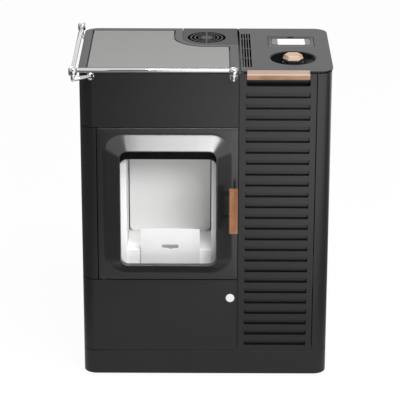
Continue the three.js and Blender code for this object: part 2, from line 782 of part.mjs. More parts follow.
function makeDoorHandle() {
  const y0 = -handleProud;
  const y1 = y0 + handleDepth;
  const x0 = handleX - handleWidth / 2;
  const x1 = handleX + handleWidth / 2;
  const bar = plan(
    polygon([
      [x0, y1],
      [x0, y0 + handleChamfer],
      [x0 + handleChamfer, y0],
      [x1 - handleChamfer, y0],
      [x1, y0 + handleChamfer],
      [x1, y1],
    ]),
    handleBottom,
    handleTop,
  );
  add("door_handle", bar, "wood");
  const postX = handleX + postOffset;
  const strapTop = handleTop - strapInset;
  const strapBottom = handleBottom + strapInset;
  const strapFront = y1 + clearance;
  let bracket = box(handleX - 2 * strapThickness, x1 - 1, strapFront, strapFront + strapThickness,
    strapBottom, strapTop);
  for (const z of [strapBottom + postInset, strapTop - postInset]) {
    bracket = bracket.add(rod([postX, y1 + 1, z], [postX, -clearance, z], postRadius, 12));
  }
  add("door_handle_bracket", bracket, "darkCast");
}

// The pins stand in the casing's lugs and carry the door, which lifts off them.
function makeDoorHingePins() {
  const names = ["door_hinge_pin_lower", "door_hinge_pin_upper"];
  hingeHeights.forEach((z, i) => {
    const foot = z - clearance - casingLugHeight + pinSeatDepth;
    const head = z + hingeLugHeight;
    const pin = rod([doorHingeX, doorHingeY, foot], [doorHingeX, doorHingeY, head], hingePinRadius, 16);
    add(names[i], pin, "zinc");
  });
}

// ---------------------------------------------------------------- lower door and ash drawer
const lowerDoorTop = doorBottomHeight - seam / 2;
const hingeRod = { x: left + hingeRodInset, y: wrapDepth };

function makeLowerDoor() {
  const sideEdge = hingeRod.y - hingeRodRadius - clearance;
  const region = box(-FAR, leftBayEdge, -FAR, sideEdge, 0, FAR);
  const wellEnd = buttonWell + sheet;
  const at = (y) => [buttonX, y, buttonHeight];
  let door = casingWall(panelBottom, lowerDoorTop).intersect(region);
  door = door.add(box(leftBayEdge - sheet, leftBayEdge, 0, wellEnd, panelBottom, lowerDoorTop));
  const bore = buttonRadius + clearance;
  door = door.add(rod(at(sheet / 2), at(wellEnd), bore + sheet));
  door = door.subtract(rod(at(-1), at(buttonWell), bore));
  door = door.subtract(rod(at(0), at(wellEnd + 1), buttonStemRadius + clearance));
  add("lower_door", door, "blackSteel");
  const capRear = buttonWell - clearance - buttonTravel - 1;
  const button = rod(at(-buttonProud), at(capRear), buttonRadius, 28);
  add("lower_door_button", button.add(rod(at(0), at(wellEnd + buttonTravel + 1), buttonStemRadius)), "button");
  const pin = rod([hingeRod.x, hingeRod.y, panelBottom + 1], [hingeRod.x, hingeRod.y, lowerDoorTop],
    hingeRodRadius, 12);
  add("lower_door_hinge_rod", pin, "zinc");
}

function makeAshDrawer() {
  const t = drawerSheet;
  let drawer = box(drawerLeft, drawerRight, drawerFront, drawerRear, drawerBottom, drawerTop);
  const inside = box(drawerLeft + t, drawerRight - t, drawerFront + t, drawerRear - t, drawerBottom + t, FAR);
  drawer = drawer.subtract(inside);
  const x0 = (drawerLeft + drawerRight - drawerPull.width) / 2;
  const x1 = x0 + drawerPull.width;
  const pullFront = drawerFront - drawerPull.reach;
  const pullTop = drawerTop - drawerPull.below;
  const pull = box(x0, x1, pullFront, drawerFront + t / 2, pullTop - t, pullTop);
  const fold = box(x0, x1, pullFront, pullFront + t, pullTop - drawerPull.drop, pullTop);
  add("ash_drawer", drawer.add(pull).add(fold), "zinc");
}

// ---------------------------------------------------------------- firebox
const linerLeft = fireboxInnerLeft - linerThickness;
const linerRight = fireboxInnerRight + linerThickness;
const casingLeft = linerLeft - clearance - casingSheet;
const casingRight = linerRight + clearance + casingSheet;
const casingRear = firebackFront + firebackThickness + clearance;
const linerFront = casingFront + casingSheet + clearance;
const innerFloor = fireboxFloor + casingSheet;
const casingTop = plateBottom - skirtDrop - clearance;
const potX = (potLeft + potRight) / 2;

// The round stub down which pellets fall from the auger's high end into the pot.
const spoutStart = 4; // before the auger's end
const spoutRun = 90;
function spout(radius) {
  const x = augerHigh.x - spoutStart;
  const z = augerHigh.z - spoutStart;
  return rod([x, augerY, z], [x - spoutRun, augerY, z - spoutRun], radius);
}

function makeFireboxCasing() {
  const t = casingSheet;
  const rearRange = [casingRear - 1, casingRear + t + 1];
  const throughRear = (x, z, radius) => rod([x, rearRange[0], z], [x, rearRange[1], z], radius);
  let casing = box(casingLeft, casingRight, casingFront, casingRear + t, floorTop + clearance, casingTop);
  casing = casing.subtract(box(casingLeft + t, casingRight - t, casingFront + t, casingRear, innerFloor, FAR));
  casing = casing.subtract(box(casingLeft + t, casingRight - t, -1, FAR, 0, fireboxFloor));
  const skirt = airPipeHeight - airPipeRadius - t;
  casing = casing.add(box(casingLeft + 1, casingRight - 1, casingRear, casingRear + t, skirt, innerFloor));
  let face = front(windowShape(doorFrameBorder - 2 * t, doorFrameCorner), casingFront, casingFront + t, 3);
  face = face.intersect(box(-FAR, FAR, -FAR, FAR, fireboxFloor, FAR));
  casing = casing.add(face);
  for (const z of hingeHeights) {
    // A round boss for the pin, and a strap that runs back beside the door frame to the casing's face.
    const top = z - clearance;
    const foot = top - casingLugHeight;
    const at = (height) => [doorHingeX, doorHingeY, height];
    const boss = rod(at(foot), at(top), hingeBossRadius, 20);
    const strapEnd = windowLeft - doorFrameBorder - clearance;
    const strap = box(doorHingeX, strapEnd, doorHingeY, casingFront + t, foot, top);
    const tie = box(strapEnd - 1, casingLeft + 1, casingFront, casingFront + t, foot, top);
    const bore = rod(at(foot + pinSeatDepth - clearance), at(top + 1), hingePinRadius + clearance, 16);
    casing = casing.add(boss).add(strap).add(tie).subtract(bore);
  }
  const sight = windowShape(0, windowRadius, windowTop, windowBottom - casingSightDrop);
  casing = casing.subtract(front(sight, casingFront - 1, casingFront + t + 1, 5));
  casing = casing.subtract(box(potLeft + airWell, potRight - airWell, potFront + airWell,
    potFront + potDepth - airWell, 0, innerFloor + 1));
  casing = casing.subtract(throughRear(potX, igniterHeight, igniterRadius + clearance));
  casing = casing.subtract(throughRear(airPipeX, airPipeHeight, airPipeRadius - pipeWall));
  casing = casing.subtract(smokeMouth(...rearRange));
  const rightWall = box(linerRight - 1, FAR, -FAR, FAR, 0, FAR);
  casing = casing.subtract(spout(augerTubeRadius + clearance).intersect(rightWall));
  add("firebox_casing", casing, "darkCast");
}

// The opening high in the rear of the fire room, where the smoke duct starts.
function smokeMouth(y0, y1) {
  const half = smokeDuctWidth / 2 - smokeMouthMargin;
  const z0 = linerTop + smokeMouthInset;
  return box(smokeFanX - half, smokeFanX + half, y0, y1, z0, smokeDuctTop - smokeMouthInset);
}

function makeLiners() {
  const rear = firebackFront + firebackThickness;
  const z0 = innerFloor + clearance;
  add("side_liner_left", box(linerLeft, fireboxInnerLeft, linerFront, rear, z0, linerTop), "vermiculite");
  const rightLiner = box(fireboxInnerRight, linerRight, linerFront, rear, z0, linerTop);
  add("side_liner_right", rightLiner.subtract(spout(augerTubeRadius + clearance)), "vermiculite");
  const x0 = fireboxInnerLeft + firebackSideGap;
  const x1 = fireboxInnerRight - firebackSideGap;
  const shape = new THREE.Shape();
  const r = firebackCorner;
  shape.absarc(x1 - r, shelfHeight + clearance + r, r, -Math.PI / 2, 0);
  shape.lineTo(x1, linerTop);
  shape.lineTo(x0, linerTop);
  shape.absarc(x0 + r, shelfHeight + clearance + r, r, Math.PI, 1.5 * Math.PI);
  add("fireback_panel", front(shape, firebackFront, rear, 5), "vermiculite");
  const baffle = box(fireboxInnerLeft + baffleSideGap, fireboxInnerRight - baffleSideGap, baffleFront,
    firebackFront - clearance, baffleHeight, baffleHeight + baffleThickness);
  add("baffle_plate", baffle, "vermiculite");
}

function makePotSurround() {
  const t = surroundWall;
  const x0 = fireboxInnerLeft + clearance;
  const x1 = fireboxInnerRight - clearance;
  const rear = firebackFront + firebackThickness - clearance;
  let surround = box(x0, x1, apronFront, rear, innerFloor + clearance, shelfHeight);
  surround = surround.subtract(box(x0 + t, x1 - t, apronFront + t, rear - t, 0, shelfHeight - t));
  const gap = potSheet;
  surround = surround.subtract(box(potLeft + potFlange - gap, potRight - potFlange + gap, apronFront - 1,
    potFront + potDepth + gap, 0, shelfHeight + 1));
  surround = surround.subtract(rod([potX, potFront + potDepth, igniterHeight], [potX, rear + 1, igniterHeight],
    igniterRadius + clearance));
  add("pot_surround", surround, "vermiculite");
}

function makeBurnPot() {
  const t = potSheet;
  const x0 = potLeft + potFlange;
  const x1 = potRight - potFlange;
  const y1 = potFront + potDepth;
  const flangeZ = shelfHeight + clearance;
  const flangeFront = apronFront + 1;
  let pot = box(x0, x1, potFront, y1, potBottom, flangeZ + t);
  pot = pot.subtract(box(x0 + t, x1 - t, potFront + t, y1 - t, potBottom + t, FAR));
  pot = pot.add(box(potLeft, x0 + 1, flangeFront, y1, flangeZ, flangeZ + t));
  pot = pot.add(box(x1 - 1, potRight, flangeFront, y1, flangeZ, flangeZ + t));
  // The raised front plate, with a slightly arched upper edge; it hangs down in front of the apron.
  const plate = new THREE.Shape();
  plate.moveTo(potLeft, innerFloor + clearance);
  plate.lineTo(potRight, innerFloor + clearance);
  plate.lineTo(potRight, potRim);
  plate.quadraticCurveTo(potX, potRim + potArch, potLeft, potRim);
  plate.closePath();
  pot = pot.add(front(plate, potFront, potFront + t, 8));
  const slotLeft = potLeft + potSlot.left;
  const slotRight = slotLeft + potSlot.width;
  const slotBottom = potBottom + potSlot.bottom;
  const slotTop = slotBottom + potSlot.height;
  const slot = roundRect(slotLeft, slotRight, slotBottom, slotTop, potSlot.height / 2);
  const middle = (slotLeft + slotRight) / 2;
  const dip = polygon([
    [middle - potSlot.dipWidth / 2, slotBottom + 1],
    [middle, slotBottom - potSlot.dipDepth],
    [middle + potSlot.dipWidth / 2, slotBottom + 1],
  ]);
  for (const hole of [slot, dip]) pot = pot.subtract(front(hole, -FAR, potFront + t + 1, 4));
  const { count, width, margin } = grateSlots;
  for (let i = 0; i < count; i++) {
    const x = x0 + ((i + 0.5) * (x1 - x0)) / count;
    pot = pot.subtract(box(x - width / 2, x + width / 2, potFront + margin, y1 - margin, 0, potBottom + t + 1));
  }
  add("burn_pot", pot, "potIron");
  const igniter = rod([potX, y1 + clearance, igniterHeight], [potX, casingRear + igniterTail, igniterHeight],
    igniterRadius, 16);
  add("igniter_tube", igniter, "zinc");
}

// ---------------------------------------------------------------- pellet feed
function makeHopper() {
  const half = inletWidth / 2;
  const levels = [
    [hopperLeft, hopperRight, hopperFront, hopperRear, hopperTop],
    [hopperLeft, hopperRight, hopperFront, hopperRear, hopperShoulder],
    [inletX - half, inletX + half, augerY - half, augerY + half, inletTop + clearance],
  ];
  const ring = ([x0, x1, y0, y1, z], inset) => [
    [x0 + inset, y0 + inset, z],
    [x1 - inset, y0 + inset, z],
    [x1 - inset, y1 - inset, z],
    [x0 + inset, y1 - inset, z],
  ];
  const outer = levels.map((level) => ring(level, 0));
  const inner = levels.map((level) => ring(level, hopperSheet));
  // The rim hangs the hopper between the partition and the right side.
  const rimRight = right - sheet - clearance;
  const rim = box(rightBayEdge, rimRight, hopperFront - hopperRim, hopperRear + hopperRim,
    hopperTop - rimThickness, hopperTop);
  const mouth = box(hopperLeft + hopperSheet, hopperRight - hopperSheet, hopperFront + hopperSheet,
    hopperRear - hopperSheet, 0, FAR);
  const withinCasing = plan(casingOutline(sheet + clearance), 0, FAR);
  const hopper = ringSolid([...outer, ...inner.reverse()]);
  add("pellet_hopper", hopper.add(rim.subtract(mouth).intersect(withinCasing)), "blackSteel");
}

function makeAuger() {
  const half = inletWidth / 2;
  const wall = augerTubeWall;
  const bore = augerTubeRadius - wall;
  const spoutEnd = box(fireboxInnerRight + clearance, FAR, -FAR, FAR, 0, FAR);
  const tubeTop = augerLow.z + (augerLow.x - inletX);
  let tube = rod(onAuger(0), onAuger(augerLength), augerTubeRadius);
  tube = tube.add(solid(new THREE.SphereGeometry(augerTubeRadius, 12, 6).translate(...onAuger(augerLength))));
  tube = tube.add(spout(augerTubeRadius).intersect(spoutEnd));
  tube = tube.add(box(inletX - half, inletX + half, augerY - half, augerY + half, tubeTop, inletTop));
  let cavity = rod(onAuger(wall), onAuger(augerLength), bore);
  cavity = cavity.add(solid(new THREE.SphereGeometry(bore, 12, 6).translate(...onAuger(augerLength))));
  cavity = cavity.add(spout(bore));
  const open = half - wall;
  cavity = cavity.add(box(inletX - open, inletX + open, augerY - open, augerY + open, tubeTop, FAR));
  tube = tube.subtract(cavity).subtract(rod(onAuger(-10), onAuger(10), augerShaftRadius + clearance));
  add("auger_tube", tube, "zinc");

  // One flat strip wound round the shaft.
  const flightStart = wall + augerShaftRadius;
  const flightLength = augerLength - flightStart - spoutStart;
  const stepsPerTurn = 8;
  const steps = Math.round((flightLength / augerPitch) * stepsPerTurn);
  const across = new THREE.Vector3().crossVectors(Y, augerAxis).normalize();
  const origin = new THREE.Vector3(...onAuger(0));
  const at = (along, radius, angle) =>
    origin.clone()
      .addScaledVector(augerAxis, along)
      .addScaledVector(across, radius * Math.cos(angle))
      .addScaledVector(Y, radius * Math.sin(angle))
      .toArray();
  const sections = [];
  for (let i = 0; i <= steps; i++) {
    const along = flightStart + (i * (flightLength - augerFlightThickness)) / steps;
    const angle = (2 * Math.PI * i) / stepsPerTurn;
    sections.push([
      at(along, augerShaftRadius - 2, angle),
      at(along, augerFlightRadius, angle),
      at(along + augerFlightThickness, augerFlightRadius, angle),
      at(along + augerFlightThickness, augerShaftRadius - 2, angle),
    ]);
  }
  const corners = [];
  const quad = (a, b, c, d) => corners.push(a, b, c, a, c, d);
  for (let i = 0; i < steps; i++) {
    for (let j = 0; j < 4; j++) {
      const k = (j + 1) % 4;
      quad(sections[i][j], sections[i][k], sections[i + 1][k], sections[i + 1][j]);
    }
  }
  const last = sections[steps];
  quad(sections[0][3], sections[0][2], sections[0][1], sections[0][0]);
  quad(last[0], last[1], last[2], last[3]);
  const shaft = rod(onAuger(-couplingLength), onAuger(augerLength - 2), augerShaftRadius, 8);
  add("auger_screw", fromTriangles(corners).add(shaft), "zinc");

  // The gearbox is bored for the shaft; the motor sits on its far side.
  const gears = rod(onAuger(-clearance), onAuger(-gearbox.length), gearbox.radius, 8);
  const motorStart = 1 - gearbox.length;
  const motor = rod(onAuger(motorStart), onAuger(motorStart - gearMotor.length), gearMotor.radius);
  const socket = rod(onAuger(1), onAuger(-couplingLength - 1), augerShaftRadius + clearance);
  add("auger_gear_motor", gears.add(motor).subtract(socket), "blackPlastic");
}

// ---------------------------------------------------------------- right front
function makeLouvredPanel() {
  const x1 = sideSeamX - seam / 2;
  const plate = new THREE.Shape();
  const r = pocketCorner;
  plate.moveTo(rightBayEdge, panelBottom);
  plate.lineTo(x1, panelBottom);
  plate.lineTo(x1, panelTop);
  plate.lineTo(pocketRight, panelTop);
  plate.lineTo(pocketRight, pocketBottom + r);
  plate.absarc(pocketRight - r, pocketBottom + r, r, 0, -Math.PI / 2, true);
  plate.absarc(pocketLeft + r, pocketBottom + r, r, -Math.PI / 2, -Math.PI, true);
  plate.lineTo(pocketLeft, panelTop);
  plate.lineTo(rightBayEdge, panelTop);
  plate.closePath();
  let panel = front(plate, 0, sheet, 4);
  const aboveLip = panelBottom + lipHeight + clearance;
  panel = panel.add(box(rightBayEdge, rightBayEdge + sheet, 0, sideFlange, aboveLip, panelTop));
  panel = panel.add(box(x1 - sheet, x1, 0, sideFlange, aboveLip, panelTop));
  // Finger pocket behind the lid's grip.
  const t = sheet;
  const pocketTop = skirtBottom + t;
  let pocket = box(pocketLeft - t, pocketRight + t, t / 2, pocketDepth + t, pocketBottom - t, pocketTop);
  pocket = pocket.subtract(box(pocketLeft, pocketRight, -1, pocketDepth, pocketBottom, FAR));
  panel = panel.add(pocket);
  // Each blade is lanced out of the sheet on three sides, bent in along its upper edge and back upright.
  const pitch = (louvreLast - louvreFirst) / (louvreCount - 1);
  for (let i = 0; i < louvreCount; i++) {
    const z0 = louvreFirst + i * pitch - louvreHeight / 2;
    const z1 = z0 + louvreHeight;
    const slot = box(louvreLeft, louvreRight, -1, sheet + 1, z0, z1);
    const edge = z0 - louvreDrop;
    const blade = polygon([
      [clearance, z1 + 1],
      [clearance, z1 - clearance],
      [louvreDepth, z1 - louvreBend],
      [louvreDepth, edge],
      [louvreDepth + louvreSheet, edge],
      [louvreDepth + louvreSheet, z1 - louvreBend + louvreSheet],
      [sheet - clearance, z1 + 1],
    ]);
    panel = panel.subtract(slot).add(side(blade, louvreLeft + louvreSlit, louvreRight - louvreSlit));
  }
  add("louvred_panel", panel, "blackSteel");
}

// ---------------------------------------------------------------- hopper lid
const gripLeft = pocketLeft + gripGap;
const gripRight = pocketRight - gripGap;

function makeLid() {
  const layer = (inset, z0, z1) =>
    topOutline(inset, lidLeft, FAR).intersect(box(-FAR, FAR, -FAR, FAR, z0, z1));
  let lid = layer(0, plateBottom, topHeight);
  // Turned-down stiffener just inside the casing; its front strip runs behind the finger pocket.
  const skirtInset = topOverhang + sheet + skirtGap;
  const innerLeft = lidLeft + sheet;
  const innerRight = right - sheet - skirtGap;
  const stripFront = pocketDepth + 2.5 * sheet;
  const skirtRear = bodyDepth - skirtGap - 2.5 * sheet;
  const weld = plateBottom + 0.5;
  const ring = topOutline(skirtInset, innerLeft, innerRight)
    .subtract(topOutline(skirtInset + sheet, innerLeft + sheet, innerRight - sheet))
    .intersect(box(-FAR, FAR, pocketDepth + sheet + clearance, skirtRear, skirtBottom, weld));
  lid = lid.add(ring);
  lid = lid.add(box(innerLeft, innerRight - sheet, stripFront, stripFront + sheet, skirtBottom, weld));
  // Notch and flange for the grip.
  lid = lid.subtract(box(gripLeft - clearance, gripRight + clearance, -FAR, gripTopRear + clearance, 0, FAR));
  lid = lid.add(box(gripLeft, gripRight, gripRear + clearance, gripRear + clearance + sheet,
    gripBottom + 2, weld));
  for (let i = 0; i < ventColumns; i++) {
    const x = ventFirstX + i * ventPitch;
    const stops = [ventFront, ...ventRibs, ventRear];
    for (let j = 0; j + 1 < stops.length; j++) {
      const y0 = stops[j] + (j ? ventRib / 2 : 0);
      const y1 = stops[j + 1] - (j + 2 < stops.length ? ventRib / 2 : 0);
      lid = lid.subtract(box(x - ventWidth / 2, x + ventWidth / 2, y0, y1, plateBottom - 1, FAR));
    }
  }
  // Pressed dish round the knob: a narrow step under the rim, then a steep wall down to a flat floor.
  const t = sheet;
  const floor = topHeight - dishDepth;
  const wallTop = dishRadius - dishLedge;
  const wallFoot = wallTop - dishWall;
  const pan = turned(
    [
      [0, floor - t],
      [wallFoot + t, floor - t],
      [wallTop + t, weld],
      [0, weld],
    ],
    dishX,
    dishY,
    28,
  );
  const hollow = turned(
    [
      [0, floor],
      [wallFoot, floor],
      [wallTop, topHeight - dishLedgeDrop],
      [dishRadius, topHeight - dishLedgeDrop],
      [dishRadius, topHeight + 1],
      [0, topHeight + 1],
    ],
    dishX,
    dishY,
    28,
  );
  lid = lid.add(pan).subtract(hollow);
  lid = lid.subtract(rod([dishX, dishY, 0], [dishX, dishY, FAR], knobShaftRadius + clearance, 12));
  // Sunk seat of the display.
  const seat = topHeight - displayDepth;
  lid = lid.add(box(displayLeft - t, displayRight + t, displayFront - t, displayRear + t, seat - t, weld));
  lid = lid.subtract(box(displayLeft, displayRight, displayFront, displayRear, seat, FAR));
  add("hopper_lid", lid, "topSteel");

  const section = polygon([
    [-gripProud, gripBottom],
    [gripRear, gripBottom],
    [gripRear, plateBottom - clearance],
    [gripTopRear, plateBottom - clearance],
    [gripTopRear, topHeight],
    [-gripProud, gripEdge],
  ]);
  add("grip_bar", side(section, gripLeft, gripRight), "wood");
}

function makeDisplay() {
  const seat = topHeight - displayDepth + clearance;
  const x0 = displayLeft + displayGap;
  const x1 = displayRight - displayGap;
  const glassTop = topHeight - displaySink;
  const glassBottom = seat + displayGap;
  const g = clearance;
  let bezel = box(x0, x1, displayFront + g, displayRear - g, seat, topHeight - 0.5);
  bezel = bezel.subtract(box(glassLeft - g, glassRight + g, glassFront - g, glassRear + g,
    glassBottom - g, FAR));
  // The face falls towards the glass on all four sides, and a finger notch is cut in its rear edge.
  const rim = 2;
  bezel = bezel.subtract(ringTaper(
    [glassLeft - g, glassRight + g, glassFront - g, glassRear + g, glassTop - 1],
    [x0 + rim, x1 - rim, displayFront + rim, displayRear - rim, topHeight],
  ));
  const middle = (displayLeft + displayRight) / 2;
  bezel = bezel.subtract(box(middle - displayNotch.width / 2, middle + displayNotch.width / 2,
    displayRear - displayNotch.run, FAR, topHeight - displayNotch.depth, FAR));
  add("display_bezel", bezel, "topSteel");
  const frame = 1; // glass left before and behind the screen
  const pane = roundRect(glassLeft, glassRight, glassFront, glassRear, glassCorner);
  const lcdFront = glassFront + frame;
  const lcdRear = glassRear - frame;
  const glass = plan(pane, glassBottom, glassTop, 4)
    .subtract(box(lcdLeft - g, lcdRight + g, lcdFront, lcdRear, glassBottom + frame, FAR));
  add("display_glass", glass, "greyGlass");
  const lcd = box(lcdLeft, lcdRight, lcdFront + g, lcdRear - g, glassBottom + frame + g, glassTop);
  add("lcd_panel", lcd, "screen");
}

// A plug whose rectangular section grows from one level to the next.
function ringTaper([x0, x1, y0, y1, z0], [u0, u1, v0, v1, z1]) {
  const geometry = new THREE.BoxGeometry(1, 1, 1);
  const position = geometry.attributes.position;
  for (let i = 0; i < position.count; i++) {
    const top = position.getZ(i) > 0;
    const x = position.getX(i) > 0 ? (top ? u1 : x1) : top ? u0 : x0;
    const y = position.getY(i) > 0 ? (top ? v1 : y1) : top ? v0 : y0;
    position.setXYZ(i, x, y, top ? z1 : z0);
  }
  return solid(geometry);
}

function makeKnob() {
  const sides = 6;
  const floor = topHeight - dishDepth + knobTravel + clearance;
  const shaftTop = knobWaist - knobShaftInset;
  const at = (z) => [dishX, dishY, z];
  const hexagonal = (profile) => {
    const geometry = new THREE.LatheGeometry(profile.map(([r, z]) => new THREE.Vector2(r, z)), sides);
    return solid(geometry.rotateY(Math.PI / sides).rotateX(Math.PI / 2).translate(dishX, dishY, 0));
  };
  add("knob_shaft", rod(at(shaftTop - knobShaftLength), at(shaftTop), knobShaftRadius, 12), "zinc");
  const base = hexagonal([
    [0, floor],
    [knobRadius - knobBaseTaper, floor],
    [knobRadius, knobWaist - clearance],
    [0, knobWaist - clearance],
  ]);
  const bore = rod(at(floor - 1), at(shaftTop + clearance), knobShaftRadius + clearance, 12);
  add("knob_base", base.subtract(bore), "blackPlastic");
  const cap = hexagonal([
    [0, knobWaist],
    [knobRadius, knobWaist],
    [knobRadius, knobWaist + knobCapEdge],
    [knobCapTop, knobTop],
    [0, knobTop],
  ]);
  add("knob_cap", cap, "copperWood");
}

function makeLidHinge() {
  const y = bodyDepth + clearance + lidHingeRadius;
  const z = plateBottom - lidHingeRadius;
  const x0 = lidLeft + lidHingeInset.left;
  const x1 = right - lidHingeInset.right;
  add("lid_hinge_rod", rod([x0, y, z], [x1, y, z], lidHingeRadius, 12), "zinc");
}

// ---------------------------------------------------------------- air and electrics
function makeSmokePath() {
  const y0 = smokeFanFront;
  const y1 = smokeFanFront + smokeFanLength;
  const t = sheet;
  const at = (y, z = smokeFanHeight) => [smokeFanX, y, z];
  const ductFront = casingRear + casingSheet + clearance;
  const ductRear = ductFront + smokeDuctDepth;
  const half = smokeDuctWidth / 2;
  const ductBottom = smokeFanHeight - half;
  const outletStart = y0 + 5 * t;
  const outletEnd = bodyDepth + pipeStub;
  let shell = rod(at(y0), at(y1), smokeFanRadius, 24);
  shell = shell.add(box(smokeFanX - half, smokeFanX + half, ductFront, ductRear, ductBottom, smokeDuctTop));
  shell = shell.add(rod(at(ductRear - 1), at(y0 + 1), smokeNeckRadius));
  shell = shell.add(rod(at(outletStart, smokeOutletHeight), at(outletEnd, smokeOutletHeight),
    smokeOutletRadius, 24));
  let cavity = rod(at(y0 + t), at(y1 - t), smokeFanRadius - t, 24);
  cavity = cavity.add(box(smokeFanX - half + t, smokeFanX + half - t, ductFront + t, ductRear - t,
    ductBottom + t, smokeDuctTop - t));
  cavity = cavity.add(rod(at(ductRear - t - 1), at(y0 + t + 1), smokeNeckRadius - t));
  cavity = cavity.add(rod(at(outletStart + pipeWall, smokeOutletHeight), at(outletEnd + 1, smokeOutletHeight),
    smokeOutletRadius - pipeWall, 24));
  cavity = cavity.add(smokeMouth(ductFront - 1, ductFront + t + 1));
  shell = shell.subtract(cavity);
  // The motor's back is cut away where the outlet pipe passes under it.
  const motorZ = smokeFanHeight + smokeMotor.rise;
  const motor = rod(at(y1 - t / 2, motorZ), at(y1 + smokeMotor.length, motorZ), smokeMotor.radius).subtract(
    rod(at(y0, smokeOutletHeight), at(FAR, smokeOutletHeight), smokeOutletRadius - t / 4),
  );
  shell = shell.add(motor);
  shell = shell.subtract(rod(at(y1 - 5 * t), at(y1 + 5 * t), smokeAxleRadius + clearance, 12));
  // Foot under the fan.
  const footFront = y0 + 2 * t;
  const footRear = footFront + smokeFoot.depth;
  const foot = box(smokeFanX - smokeFoot.width / 2, smokeFanX + smokeFoot.width / 2, footFront, footRear,
    floorTop + clearance, smokeOutletHeight)
    .subtract(rod(at(y0, smokeOutletHeight), at(FAR, smokeOutletHeight), smokeOutletRadius - 1))
    .subtract(rod(at(y0), at(FAR), smokeFanRadius - 1));
  add("smoke_fan_housing", shell.add(foot), "aluminium");

  const wheelFront = y0 + 3.5 * t;
  const wheelRear = y1 - 2.5 * t;
  const bladeRoot = smokeWheelRadius / 3;
  let wheel = rod(at(wheelRear - 1.5 * t), at(wheelRear), smokeWheelRadius, 24);
  wheel = wheel.add(rod(at(wheelFront + 2 * t), at(y1 + 4 * t), smokeAxleRadius, 12));
  wheel = wheel.add(bladeRing(smokeWheelRadius - 1, bladeRoot, 8, t, wheelFront, wheelRear - 1, "y",
    smokeFanX, smokeFanHeight));
  add("smoke_fan_wheel", wheel, "zinc");
}

// Flat blades standing between two radii of a wheel that turns about the x or y axis.
function bladeRing(outer, inner, count, thickness, a0, a1, axis, u, v) {
  let ring = null;
  for (let i = 0; i < count; i++) {
    const angle = (2 * Math.PI * i) / count;
    const geometry = new THREE.BoxGeometry(outer - inner, a1 - a0, thickness);
    geometry.translate((outer + inner) / 2, 0, 0);
    geometry.rotateY(angle);
    geometry.translate(0, (a0 + a1) / 2, 0);
    if (axis === "x") geometry.rotateZ(-Math.PI / 2);
    if (axis === "x") geometry.translate(0, u, v);
    else geometry.translate(u, 0, v);
    const blade = solid(geometry);
    ring = ring ? ring.add(blade) : blade;
  }
  return ring;
}

function makeAirPipe() {
  const y0 = casingRear + casingSheet + clearance;
  const y1 = bodyDepth + pipeStub;
  const at = (y) => [airPipeX, y, airPipeHeight];
  const pipe = rod(at(y0), at(y1), airPipeRadius, 24).subtract(
    rod(at(y0 - 1), at(y1 + 1), airPipeRadius - pipeWall, 24),
  );
  add("air_inlet_pipe", pipe, "zinc");
}

function makeBlower() {
  const t = sheet;
  const z0 = floorTop + clearance;
  const axisY = (blowerFront + blowerRear) / 2;
  const axisZ = (z0 + blowerTop) / 2;
  const at = (x) => [x, axisY, axisZ];
  let housing = box(blowerLeft, blowerRight, blowerFront, blowerRear, z0, blowerTop);
  housing = housing.subtract(box(blowerLeft + t, blowerRight - t, blowerFront - 1, blowerRear - t,
    z0 + t, blowerTop - t));
  const intake = blowerWheelRadius - blowerBladeDepth - t;
  housing = housing.subtract(rod(at(blowerRight - t - 1), at(blowerRight + 1), intake));
  // A bar across the intake carries the right end of the shaft.
  const bar = 4 * t;
  housing = housing.add(box(blowerRight - t, blowerRight, axisY - bar, axisY + bar, z0 + t, blowerTop - t));
  housing = housing.subtract(rod(at(blowerLeft - 1), at(blowerRight + 1), blowerShaftRadius + clearance));
  add("blower_housing", housing, "zinc");
  const x0 = blowerLeft + 4 * t;
  const x1 = blowerRight - 4 * t;
  const middle = (x0 + x1) / 2;
  let wheel = rod(at(blowerLeft + clearance), at(blowerRight - clearance), blowerShaftRadius, 12);
  wheel = wheel.add(rod(at(middle - t), at(middle + t), blowerWheelRadius - t));
  wheel = wheel.add(bladeRing(blowerWheelRadius, blowerWheelRadius - blowerBladeDepth, 12, pipeWall,
    x0, x1, "x", axisY, axisZ));
  add("blower_wheel", wheel, "blackPlastic");
}

function makeControlBox() {
  const x1 = right - sheet - clearance;
  const x0 = x1 - controlBox.thickness;
  const { front: y0, rear: y1, bottom, top } = controlBox;
  let control = box(x0, x1, y0, y1, bottom, top);
  for (let i = 0; i < plug.count; i++) {
    const y = y0 + plug.length + i * plug.pitch;
    control = control.add(box(x0 + plug.inset, x0 + plug.inset + plug.thickness, y, y + plug.length,
      top - 1, top + plug.height));
  }
  add("control_box", control, "blackPlastic");
}

